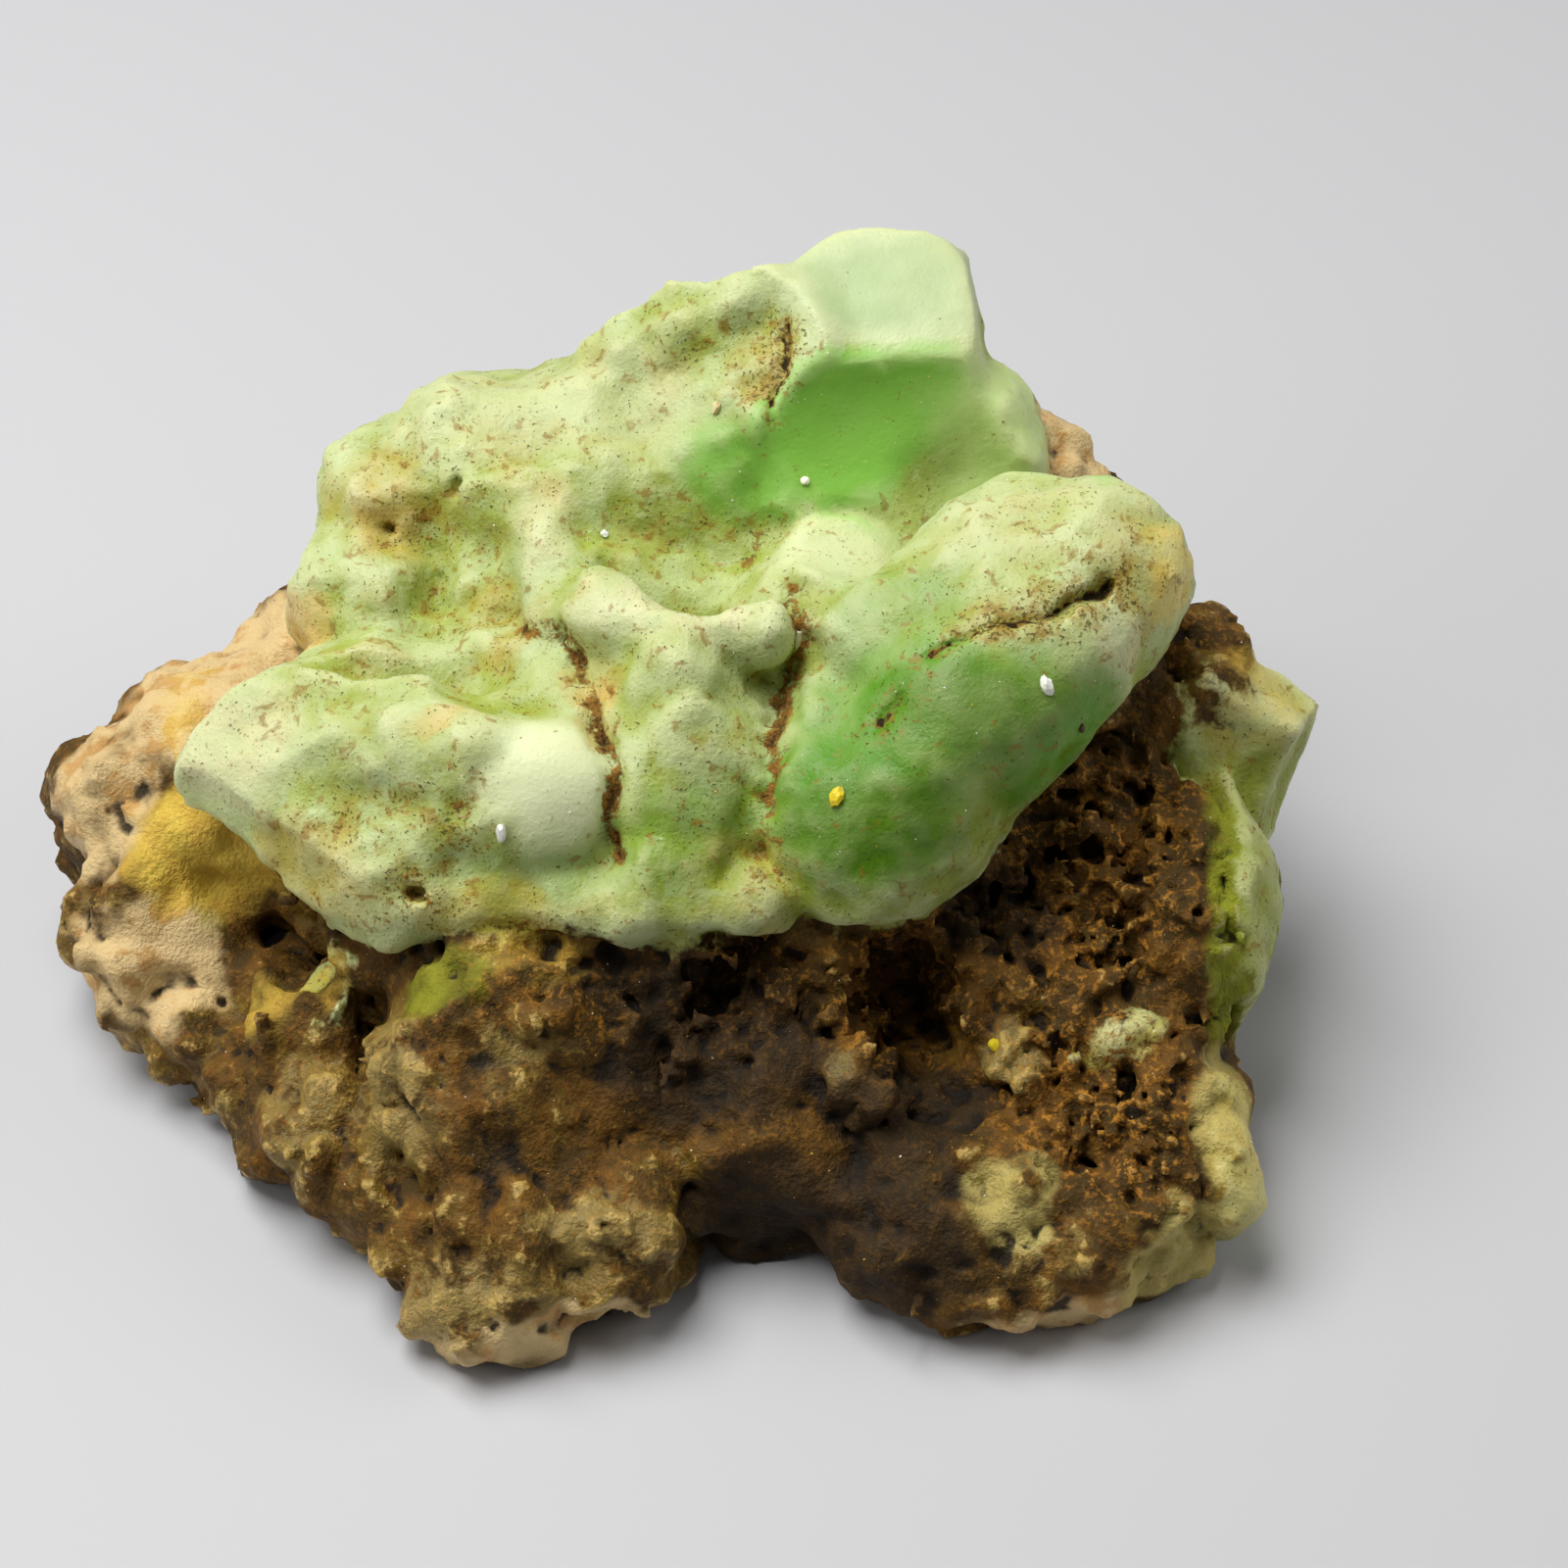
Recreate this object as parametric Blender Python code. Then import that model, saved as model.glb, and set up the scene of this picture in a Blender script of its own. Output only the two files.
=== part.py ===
# Fluorite specimen: one stone, waxy green mineral grown over brown porous rock.
# The shape is worked out in millimetres as a field of distances, in which lobes
# blend into one another, and is scaled to metres at its end. +Z is up, -Y is the
# side that faces the viewer, and the stone rests on flats at z = 0.

import math

import bpy
from mathutils import Vector

OBJECT_NAME = "fluorite_specimen"
MILLIMETRE = 0.001

# Driving sizes of the lattice and the mesh. The density is SURFACE_DENSITY at the
# surface and falls by DENSITY_FALL over one cell outwards.
CELL = 0.5
LATTICE_LOW = (-29.0, -25.0, -2.0)
LATTICE_HIGH = (29.0, 22.0, 29.5)
SURFACE_DENSITY = 0.5
DENSITY_FALL = 0.25
TRIANGLES_KEPT = 0.13
GROUND_SIDE = 0.12
GROUND_DEPTH = 0.02

# Moves the stone so that its box is centred on the origin.
STANDING_SHIFT = (0.6, 1.5)

# Size of each waviness of the surface, and how far it moves a point.
ROCK_WAVES = ((7.0, 1.1), (3.4, 0.8), (1.8, 0.35))
GREEN_WAVES = ((7.0, 1.1), (2.6, 0.35))
CALM_WAVES = ((7.0, 0.3), (2.6, 0.1))

# The two minerals meet in a narrow blend; a seam is a groove where lobes meet.
MINERALS_BLEND = 0.5
SEAM_BLEND = 0.5

# Lobes of the brown rock: name, centre, half sizes, turn in degrees, blend.
ROCK_LOBES = [
    ("core", (-1.0, -1.0, 7.6), (16.0, 10.5, 7.2), (0, 0, 0), 2.0),
    ("rear", (-1.0, 8.0, 8.0), (16.5, 9.0, 8.4), (0, 0, 0), 3.0),
    ("rear_left", (-11.5, 8.5, 7.0), (8.0, 7.0, 6.6), (0, 0, 20), 2.0),
    ("rear_shelf", (-7.0, 14.4, 9.6), (7.0, 4.2, 3.0), (12, 0, 8), 1.0),
    ("rear_knuckle", (3.5, 15.6, 5.4), (4.6, 3.4, 4.0), (0, 0, -10), 0.8),
    ("rear_corner", (11.0, 13.0, 7.6), (5.0, 4.2, 4.4), (0, 0, -30), 0.8),
    ("left_mass", (-18.4, 2.8, 6.4), (7.7, 6.4, 5.9), (0, 0, 12), 1.5),
    ("left_front", (-21.2, -2.6, 4.2), (4.3, 4.0, 3.9), (0, 0, 0), 1.5),
    ("left_web", (-14.4, -10.4, 2.8), (4.4, 4.2, 3.2), (0, 0, -40), 1.2),
    ("left_block", (-14.6, -8.6, 5.2), (3.0, 2.4, 2.6), (0, 0, 10), 0.8),
    ("left_floor", (-16.4, -6.0, 3.0), (3.6, 3.2, 2.6), (0, 0, -40), 1.2),
    ("front_body", (-4.6, -9.2, 4.0), (6.6, 7.2, 6.6), (0, 0, 0), 1.5),
    ("front_bulge", (-9.4, -11.6, 5.0), (2.2, 3.6, 4.6), (20, 0, 0), 2.0),
    ("front_toe", (-7.2, -17.8, 2.0), (3.7, 4.2, 3.1), (0, 0, 15), 1.2),
    ("front_toe_side", (-2.8, -16.0, 2.6), (3.6, 4.2, 3.4), (0, 0, 0), 1.2),
    ("arch_wall", (3.6, -9.8, 2.8), (6.6, 7.2, 6.4), (0, 0, 0), 1.5),
    ("right_foot", (12.6, -13.1, 2.0), (8.2, 7.7, 4.6), (0, 0, 0), 1.5),
    ("right_heel", (18.4, -11.4, 3.8), (4.0, 6.4, 4.3), (0, 0, 0), 1.5),
    ("right_slope", (15.0, -8.2, 5.0), (7.0, 5.6, 5.2), (20, 0, 0), 2.0),
    ("right_body", (14.8, -1.0, 6.6), (8.0, 7.6, 7.0), (0, 0, 0), 2.0),
    ("right_rear", (13.0, 5.5, 8.6), (8.6, 8.6, 7.6), (0, 0, 0), 2.0),
    ("rim_bed", (18.6, -4.6, 6.8), (3.2, 5.4, 5.0), (0, 0, 0), 1.5),
    ("rear_patch", (14.0, 11.0, 15.2), (3.8, 4.2, 4.7), (0, 0, 0), 2.0),
    ("lobe_seat", (14.2, 2.4, 13.6), (4.8, 4.2, 3.2), (0, 0, 0), 1.0),
    ("tip_root", (19.6, 3.0, 12.4), (3.8, 3.6, 4.5), (0, 30, 0), 1.5),
]

# Lobes of the green mineral, in the same order of values.
GREEN_LOBES = [
    ("green_back", (-0.5, 8.5, 13.6), (12.0, 7.8, 6.0), (0, 0, 0), 3.0),
    ("green_middle", (-5.0, -1.6, 12.8), (11.0, 6.4, 4.4), (0, 0, 0), 2.0),
    ("green_right", (7.6, -1.6, 13.6), (6.2, 6.2, 4.4), (0, 0, 0), 2.0),
    ("shoulder", (-3.6, 10.6, 17.0), (5.2, 6.0, 4.9), (0, 0, 0), 1.5),
    ("upper_left", (-7.9, 11.2, 16.4), (4.6, 5.4, 4.7), (0, 0, 0), 1.2),
    ("upper_knob", (-11.6, 10.0, 15.8), (3.6, 4.2, 3.9), (0, 0, 0), 1.0),
    ("lower_knob", (-12.9, 6.0, 14.4), (3.0, 3.2, 3.4), (0, 0, 0), 1.0),
    ("shelf", (-9.0, 0.6, 13.4), (7.2, 4.8, 3.2), (0, 0, -8), 1.2),
    ("flange", (-13.2, -3.2, 13.0), (5.8, 3.8, 1.9), (18, -12, -32), 1.0),
    ("nose", (-5.4, -5.4, 14.0), (4.0, 3.2, 3.8), (0, 0, 0), 1.0),
    ("centre", (0.3, -3.0, 14.0), (3.9, 4.6, 4.4), (0, 0, 0), 1.5),
    ("saddle", (6.5, 3.0, 17.0), (4.8, 3.8, 3.2), (0, 0, 0), 1.5),
    ("right_root", (6.2, -4.6, 14.0), (3.4, 4.4, 4.4), (0, 0, 0), 2.0),
    ("block_foot", (10.9, 9.4, 17.6), (4.3, 4.6, 5.3), (0, 0, 0), 1.5),
    ("block_back", (8.0, 13.6, 17.0), (4.6, 4.4, 6.0), (0, 0, 0), 1.5),
    ("tip", (22.6, 0.4, 11.4), (2.9, 2.2, 3.2), (0, 15, -10), 0.9),
    ("rim", (21.2, -3.8, 8.2), (1.9, 6.0, 5.6), (0, 0, 0), 1.2),
    ("rim_low", (20.4, -13.8, 3.4), (1.6, 3.4, 3.2), (0, 0, 10), 0.8),
    ("rear_green", (-8.0, 14.0, 13.6), (6.0, 3.4, 2.6), (-10, 10, 12), 2.0),
    ("rear_green_low", (4.6, 15.6, 9.6), (5.4, 2.6, 3.6), (-15, -20, -8), 1.5),
]

# Blocks of green mineral with broken faces: name, centre, half sizes, blend, and
# a point and an outward direction for each face.
GREEN_BLOCKS = [
    ("back_block", (8.2, 12.6, 18.6), (5.6, 6.4, 9.0), 1.0, [
        ((8.0, 12.0, 25.3), (-0.10, -0.36, 1.0)),
        ((12.3, 12.0, 22.0), (1.0, 0.05, 0.22)),
        ((4.2, 12.0, 24.4), (-1.0, -0.1, 0.3)),
        ((8.0, 16.6, 22.0), (0.1, 1.0, 0.35)),
    ]),
    ("ridge_block", (0.6, 11.0, 16.0), (6.8, 6.6, 9.6), 1.2, [
        ((1.5, 12.0, 24.4), (-0.34, -0.62, 1.0)),
        ((1.5, 14.8, 22.0), (-0.1, 1.0, 0.4)),
    ]),
]
FACE_BLEND = 0.5

# Ridges, crests and fingers: name, start, end, first and last radius, blend.
ROCK_RIDGES = [
    ("left_ledge", (-21.4, -4.8, 2.8), (-9.8, -16.6, 2.4), 2.2, 2.6, 1.0),
]
GREEN_RIDGES = [
    ("right_lobe_root", (7.0, -6.6, 14.0), (10.8, -3.2, 17.0), 3.7, 4.1, 1.2),
    ("right_lobe", (10.8, -3.2, 17.0), (15.9, 1.8, 19.4), 4.1, 4.0, 1.2),
    ("right_lobe_back", (9.2, -0.6, 17.4), (13.6, 2.6, 19.2), 3.6, 3.7, 1.2),
    ("centre_face", (0.4, -1.8, 17.2), (0.2, -7.2, 13.4), 2.5, 2.3, 1.5),
    ("centre_crest_left", (-3.4, 0.8, 18.6), (0.4, -1.0, 18.2), 1.5, 1.4, 0.8),
    ("centre_crest_right", (0.4, -1.0, 18.2), (3.6, -0.8, 18.7), 1.4, 1.3, 1.0),
    ("upper_ridge", (-5.9, 6.6, 18.4), (-4.8, 1.6, 17.4), 1.6, 1.4, 1.2),
    ("flange_crest_left", (-18.2, -2.2, 13.2), (-13.5, -3.2, 14.6), 1.2, 1.4, 0.8),
    ("flange_crest_right", (-13.5, -3.2, 14.6), (-7.4, -5.2, 16.6), 1.4, 1.6, 0.8),
    ("flange_edge_left", (-17.4, -2.8, 12.7), (-14.0, -6.2, 11.6), 1.2, 1.3, 0.8),
    ("flange_edge_right", (-14.0, -6.2, 11.6), (-10.4, -7.9, 11.4), 1.3, 1.5, 0.8),
    ("lip_left", (-10.4, -7.9, 11.6), (-4.6, -7.8, 12.2), 1.5, 1.6, 1.0),
    ("lip_right", (-4.6, -7.8, 12.2), (3.0, -8.6, 12.6), 1.6, 1.6, 1.0),
]

# Hollows broken or weathered out: name, centre, half sizes, turn in degrees, blend.
GREEN_HOLLOWS = [
    ("scoop", (7.4, 3.8, 25.6), (7.5, 5.6, 6.6), (0, 0, 0), 0.3),
    ("basin", (0.9, 4.0, 20.6), (3.7, 2.7, 3.0), (0, 0, 0), 1.6),
    ("shelf_dip", (-10.0, -0.6, 18.6), (5.0, 1.8, 3.2), (0, 0, -10), 0.8),
]
ROCK_HOLLOWS = [
    ("left_face", (-20.5, -8.6, 10.6), (6.0, 6.0, 5.2), (0, 0, 0), 0.4),
    ("left_cavity", (-16.6, -5.6, 7.6), (3.4, 2.0, 1.8), (0, 0, -40), 0.4),
    ("arch", (3.5, -20.9, 1.8), (3.9, 4.6, 5.4), (0, 0, 0), 0.6),
    ("dark_cavern", (9.0, -10.2, 8.0), (2.5, 3.4, 2.8), (0, 0, 0), 0.5),
    ("small_cavern", (2.2, -10.4, 9.6), (1.2, 2.2, 1.6), (0, 0, 0), 0.4),
    ("rear_bite", (-1.5, 20.6, 7.0), (4.6, 4.2, 5.0), (0, 0, 0), 0.8),
    ("rear_left_bite", (-17.5, 15.5, 5.0), (4.6, 4.6, 4.0), (0, 0, 30), 0.8),
    ("right_bite", (24.6, 8.6, 5.0), (4.0, 4.6, 5.0), (0, 0, 0), 0.8),
    ("underside", (1.0, -7.0, -3.4), (13.0, 8.0, 5.2), (0, 0, 0), 0.8),
    ("underside_left", (-17.0, 3.0, -2.4), (5.0, 4.6, 3.4), (0, 0, 0), 0.6),
    ("underside_right", (18.0, 4.0, -2.4), (6.0, 5.0, 3.6), (0, 0, 0), 0.6),
]

# What stays smooth, as the freshly broken or waxy places are.
CALM_NAMES = {
    "back_block", "scoop", "saddle", "nose", "tip",
    "right_lobe_root", "right_lobe", "right_lobe_back",
}

# Grooves between lobes: name, points, radius.
SEAMS = [
    ("middle_and_right", [(4.6, -0.6, 20.0), (4.7, -3.2, 18.8), (3.8, -5.9, 17.2),
                          (3.5, -8.0, 15.2), (3.3, -9.8, 13.2)], 0.7),
    ("nose_and_middle", [(-3.6, -1.8, 18.4), (-2.8, -4.4, 17.2), (-2.0, -6.6, 15.4),
                         (-1.6, -8.6, 13.4)], 0.6),
]

STONE_COLOUR = (0.46, 0.55, 0.26, 1.0)
STONE_ROUGHNESS = 0.45


class Wire:
    """One output of a node, with the sums that the field is written in."""

    def __init__(self, tree, socket):
        self.tree = tree
        self.socket = socket

    def node(self, kind, settings=None, inputs=None, output=0):
        made = self.tree.nodes.new(kind)
        for key, value in (settings or {}).items():
            setattr(made, key, value)
        for key, value in (inputs or {}).items():
            if isinstance(value, Wire):
                self.tree.links.new(value.socket, made.inputs[key])
            else:
                made.inputs[key].default_value = value
        return Wire(self.tree, made.outputs[output])

    def math(self, operation, other, blend=0.0):
        inputs = {0: self, 1: other, 2: blend}
        return self.node("ShaderNodeMath", {"operation": operation}, inputs)

    def vector(self, operation, other):
        return self.node("ShaderNodeVectorMath", {"operation": operation}, {0: self, 1: other})

    def measure(self, operation, other=(0.0, 0.0, 0.0)):
        """A length or a dot product, which is one number."""
        settings = {"operation": operation}
        return self.node("ShaderNodeVectorMath", settings, {0: self, 1: other}, "Value")

    def scaled(self, factor):
        return self.node("ShaderNodeVectorMath", {"operation": "SCALE"}, {0: self, "Scale": factor})

    def __add__(self, other):
        return self.math("ADD", other)

    def __sub__(self, other):
        return self.math("SUBTRACT", other)

    def __mul__(self, other):
        return self.math("MULTIPLY", other)

    def __truediv__(self, other):
        return self.math("DIVIDE", other)

    def __neg__(self):
        return self.math("MULTIPLY", -1.0)


def turned(point, centre, turn):
    """The point as seen from a lobe's own centre and turn."""
    moved = point.vector("SUBTRACT", centre)
    if not any(turn):
        return moved
    angles = tuple(math.radians(angle) for angle in turn)
    settings = {"rotation_type": "EULER_XYZ", "invert": True}
    return moved.node("ShaderNodeVectorRotate", settings, {"Vector": moved, "Rotation": angles})


def ellipsoid(point, centre, half_sizes, turn):
    """Distance to an ellipsoid, close to the true one near its surface."""
    unit = turned(point, centre, turn).vector("DIVIDE", half_sizes)
    reach = unit.measure("LENGTH")
    slope = unit.vector("DIVIDE", half_sizes).measure("LENGTH")
    return reach * (reach - 1.0) / slope.math("MAXIMUM", 0.0001)


def ridge(point, start, end, first_radius, last_radius):
    """Distance to a round-ended cone between two points."""
    along = tuple(b - a for a, b in zip(start, end))
    length_squared = sum(value * value for value in along)
    from_start = point.vector("SUBTRACT", start)
    share = from_start.measure("DOT_PRODUCT", along) / length_squared
    share = share.math("MAXIMUM", 0.0).math("MINIMUM", 1.0)
    on_axis = point.node("ShaderNodeVectorMath", {"operation": "SCALE"}, {0: along, "Scale": share})
    radius = share * (last_radius - first_radius) + first_radius
    return from_start.vector("SUBTRACT", on_axis).measure("LENGTH") - radius


def face(point, on_face, normal):
    """Distance outside a flat face."""
    direction = tuple(Vector(normal).normalized())
    return point.vector("SUBTRACT", on_face).measure("DOT_PRODUCT", direction)


def joined(first, second, blend):
    return second if first is None else first.math("SMOOTH_MIN", second, blend)


def cut(body, tool, blend):
    return body.math("SMOOTH_MAX", -tool, blend)


def wavy(point, waves):
    """The point moved by smooth noise, which makes lobes irregular."""
    moved = point
    for size, reach in waves:
        inputs = {"Vector": point, "Scale": 1.0 / size, "Detail": 1.0}
        noise = point.node("ShaderNodeTexNoise", {"noise_dimensions": "3D"}, inputs, "Color")
        push = noise.vector("SUBTRACT", (0.5, 0.5, 0.5)).scaled(2.0 * reach)
        moved = moved.vector("ADD", push)
    return moved


def block(point, centre, half_sizes, faces):
    """Distance to a lobe with flat broken faces."""
    body = ellipsoid(point, centre, half_sizes, (0, 0, 0))
    for on_face, normal in faces:
        body = body.math("SMOOTH_MAX", face(point, on_face, normal), FACE_BLEND)
    return body


def mineral(rough, calm, lobes, blocks, ridges, hollows):
    """Distance to one mineral: lobes, blocks and ridges joined, then its hollows cut."""
    body = None
    for name, centre, half_sizes, turn, blend in lobes:
        point = calm if name in CALM_NAMES else rough
        body = joined(body, ellipsoid(point, centre, half_sizes, turn), blend)
    for name, centre, half_sizes, blend, faces in blocks:
        point = calm if name in CALM_NAMES else rough
        body = joined(body, block(point, centre, half_sizes, faces), blend)
    for name, start, end, first_radius, last_radius, blend in ridges:
        point = calm if name in CALM_NAMES else rough
        body = joined(body, ridge(point, start, end, first_radius, last_radius), blend)
    for name, centre, half_sizes, turn, blend in hollows:
        point = calm if name in CALM_NAMES else rough
        body = cut(body, ellipsoid(point, centre, half_sizes, turn), blend)
    return body


def minerals(point):
    """Distances to the rock and to the green mineral."""
    calm = wavy(point, CALM_WAVES)
    rough = wavy(point, GREEN_WAVES)
    rock = mineral(wavy(point, ROCK_WAVES), calm, ROCK_LOBES, [], ROCK_RIDGES, ROCK_HOLLOWS)
    green = mineral(rough, calm, GREEN_LOBES, GREEN_BLOCKS, GREEN_RIDGES, GREEN_HOLLOWS)
    return rock, green


def stone(point):
    """Distance to the whole stone, with the grooves between its lobes."""
    rock, green = minerals(point)
    whole = joined(rock, green, MINERALS_BLEND)
    rough = wavy(point, GREEN_WAVES)
    for _, points, radius in SEAMS:
        groove = None
        for start, end in zip(points, points[1:]):
            run = ridge(rough, start, end, radius, radius)
            groove = run if groove is None else groove.math("MINIMUM", run)
        whole = cut(whole, groove, SEAM_BLEND)
    return whole


def stone_tree(cell):
    """Geometry nodes that sample the field on a lattice and skin it in metres."""
    tree = bpy.data.node_groups.new("stone", "GeometryNodeTree")
    tree.interface.new_socket("Geometry", in_out="OUTPUT", socket_type="NodeSocketGeometry")
    place = tree.nodes.new("GeometryNodeInputPosition")
    point = Wire(tree, place.outputs["Position"])
    density = stone(point) * (-DENSITY_FALL / cell) + SURFACE_DENSITY
    density = density.math("MINIMUM", 1.0).math("MAXIMUM", 0.0)
    counts = [round((high - low) / cell) for low, high in zip(LATTICE_LOW, LATTICE_HIGH)]
    inputs = {
        "Density": density,
        "Min": LATTICE_LOW,
        "Max": LATTICE_HIGH,
        "Resolution X": counts[0],
        "Resolution Y": counts[1],
        "Resolution Z": counts[2],
    }
    volume = point.node("GeometryNodeVolumeCube", {}, inputs)
    skin_inputs = {"Volume": volume, "Threshold": SURFACE_DENSITY}
    skin = volume.node("GeometryNodeVolumeToMesh", {}, skin_inputs)
    place_inputs = {
        "Geometry": skin,
        "Translation": (STANDING_SHIFT[0] * MILLIMETRE, STANDING_SHIFT[1] * MILLIMETRE, 0.0),
        "Scale": (MILLIMETRE, MILLIMETRE, MILLIMETRE),
    }
    standing = skin.node("GeometryNodeTransform", {}, place_inputs)
    out = tree.nodes.new("NodeGroupOutput")
    tree.links.new(standing.socket, out.inputs["Geometry"])
    return tree


def clear_scene():
    for old in list(bpy.data.objects):
        bpy.data.objects.remove(old, do_unlink=True)


def collection(name):
    made = bpy.data.collections.new(name)
    bpy.context.scene.collection.children.link(made)
    return made


def stone_material():
    made = bpy.data.materials.new("stone")
    made.use_nodes = True
    shader = made.node_tree.nodes["Principled BSDF"]
    shader.inputs["Base Color"].default_value = STONE_COLOUR
    shader.inputs["Roughness"].default_value = STONE_ROUGHNESS
    shader.inputs["Metallic"].default_value = 0.0
    return made


def ground_cutter(into):
    """A block under z = 0 that takes off the stone's lowest bumps, so that it stands."""
    bpy.ops.mesh.primitive_cube_add(size=1.0, location=(0.0, 0.0, -GROUND_DEPTH / 2))
    ground = bpy.context.object
    ground.name = "ground"
    ground.scale = (GROUND_SIDE, GROUND_SIDE, GROUND_DEPTH)
    bpy.ops.object.transform_apply(location=True, rotation=True, scale=True)
    ground.hide_render = True
    ground.display_type = "WIRE"
    for old in list(ground.users_collection):
        old.objects.unlink(ground)
    into.objects.link(ground)
    return ground


def make_specimen(into, ground):
    """Grows the stone, thins its mesh and cuts the flats that it rests on."""
    specimen = bpy.data.objects.new(OBJECT_NAME, bpy.data.meshes.new(OBJECT_NAME))
    into.objects.link(specimen)
    grow = specimen.modifiers.new("grow", "NODES")
    grow.node_group = stone_tree(CELL)
    thin = specimen.modifiers.new("thin", "DECIMATE")
    thin.ratio = TRIANGLES_KEPT
    flat = specimen.modifiers.new("flat_feet", "BOOLEAN")
    flat.operation = "DIFFERENCE"
    flat.solver = "EXACT"
    flat.object = ground
    evaluated = specimen.evaluated_get(bpy.context.evaluated_depsgraph_get())
    grown = bpy.data.meshes.new_from_object(evaluated)
    specimen.modifiers.clear()
    specimen.data = grown
    grown.materials.clear()
    grown.materials.append(stone_material())
    grown.shade_smooth()
    return specimen


def main():
    clear_scene()
    ground = ground_cutter(collection("cutters"))
    make_specimen(collection(OBJECT_NAME), ground)


if __name__ == "__main__":
    main()
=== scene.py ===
# A stone of waxy green mineral grown over brown porous rock, with its fine surface and colours.
# Shapes are worked out in millimetres in the stone's own frame, then scaled and moved to the CAD's.
import functools
import math
import random
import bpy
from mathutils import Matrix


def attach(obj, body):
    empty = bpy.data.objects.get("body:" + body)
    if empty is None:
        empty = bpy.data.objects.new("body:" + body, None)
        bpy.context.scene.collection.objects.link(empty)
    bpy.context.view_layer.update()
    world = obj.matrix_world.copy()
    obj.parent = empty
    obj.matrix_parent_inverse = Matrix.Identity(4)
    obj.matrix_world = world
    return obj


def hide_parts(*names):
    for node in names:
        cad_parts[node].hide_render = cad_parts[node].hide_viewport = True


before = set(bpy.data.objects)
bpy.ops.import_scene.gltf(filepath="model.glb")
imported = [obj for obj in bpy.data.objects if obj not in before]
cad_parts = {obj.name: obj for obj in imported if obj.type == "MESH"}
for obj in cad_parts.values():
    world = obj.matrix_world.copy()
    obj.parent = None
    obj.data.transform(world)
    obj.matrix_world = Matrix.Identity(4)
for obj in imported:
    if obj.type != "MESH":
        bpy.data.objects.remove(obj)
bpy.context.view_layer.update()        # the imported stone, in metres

from types import SimpleNamespace

import bmesh
import bpy
from mathutils import Vector
from mathutils.bvhtree import BVHTree

mm = 0.001
standingShift = (0.6, 1.5, 0.0)  # mm, from the shape's frame to the CAD's

stoneNode = "fluorite_specimen"
stoneSizes = {  # what a user would change, in mm
    "Cell": 0.22,
    "Pore Depth": 1.6,
    "Crumb Height": 1.1,
    "Lump Height": 1.35,
    "Chip Depth": 0.9,
    "Green Ripple": 0.3,
}
latticeLow = (-27.4, -23.0, -0.7)
latticeHigh = (26.4, 20.2, 27.3)
mostTriangles = 196000
smallestIsland = 5000  # points, below which a part of the skin is a bubble
surfaceDensity = 0.5  # the density at the surface, and its fall over one cell
densityFall = 0.25

rockWaves = ((7.0, 1.1), (3.4, 0.8), (1.8, 0.35))  # size of a waviness, and its reach
greenWaves = ((7.0, 1.1), (2.6, 0.38), (1.2, 0.14))
calmWaves = ((7.0, 0.3), (2.6, 0.1))
raggedWaves = ((2.2, 0.6), (0.8, 0.35))
grooveWaves = ((2.4, 0.35), (0.8, 0.3), (0.35, 0.12))
placeWaves = ((2.2, 0.9), (0.9, 0.4))
patchWaves = ((2.0, 0.7), (0.6, 0.25))
mineralsBlend = 0.4
faceBlend = 0.25
lumpSize = 2.4  # mm, from one lump of the rock to the next
chipSize = 4.2
poreSizes = ((1.7, 0.5), (0.8, 0.22))  # mm, how far apart, and the radius

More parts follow.
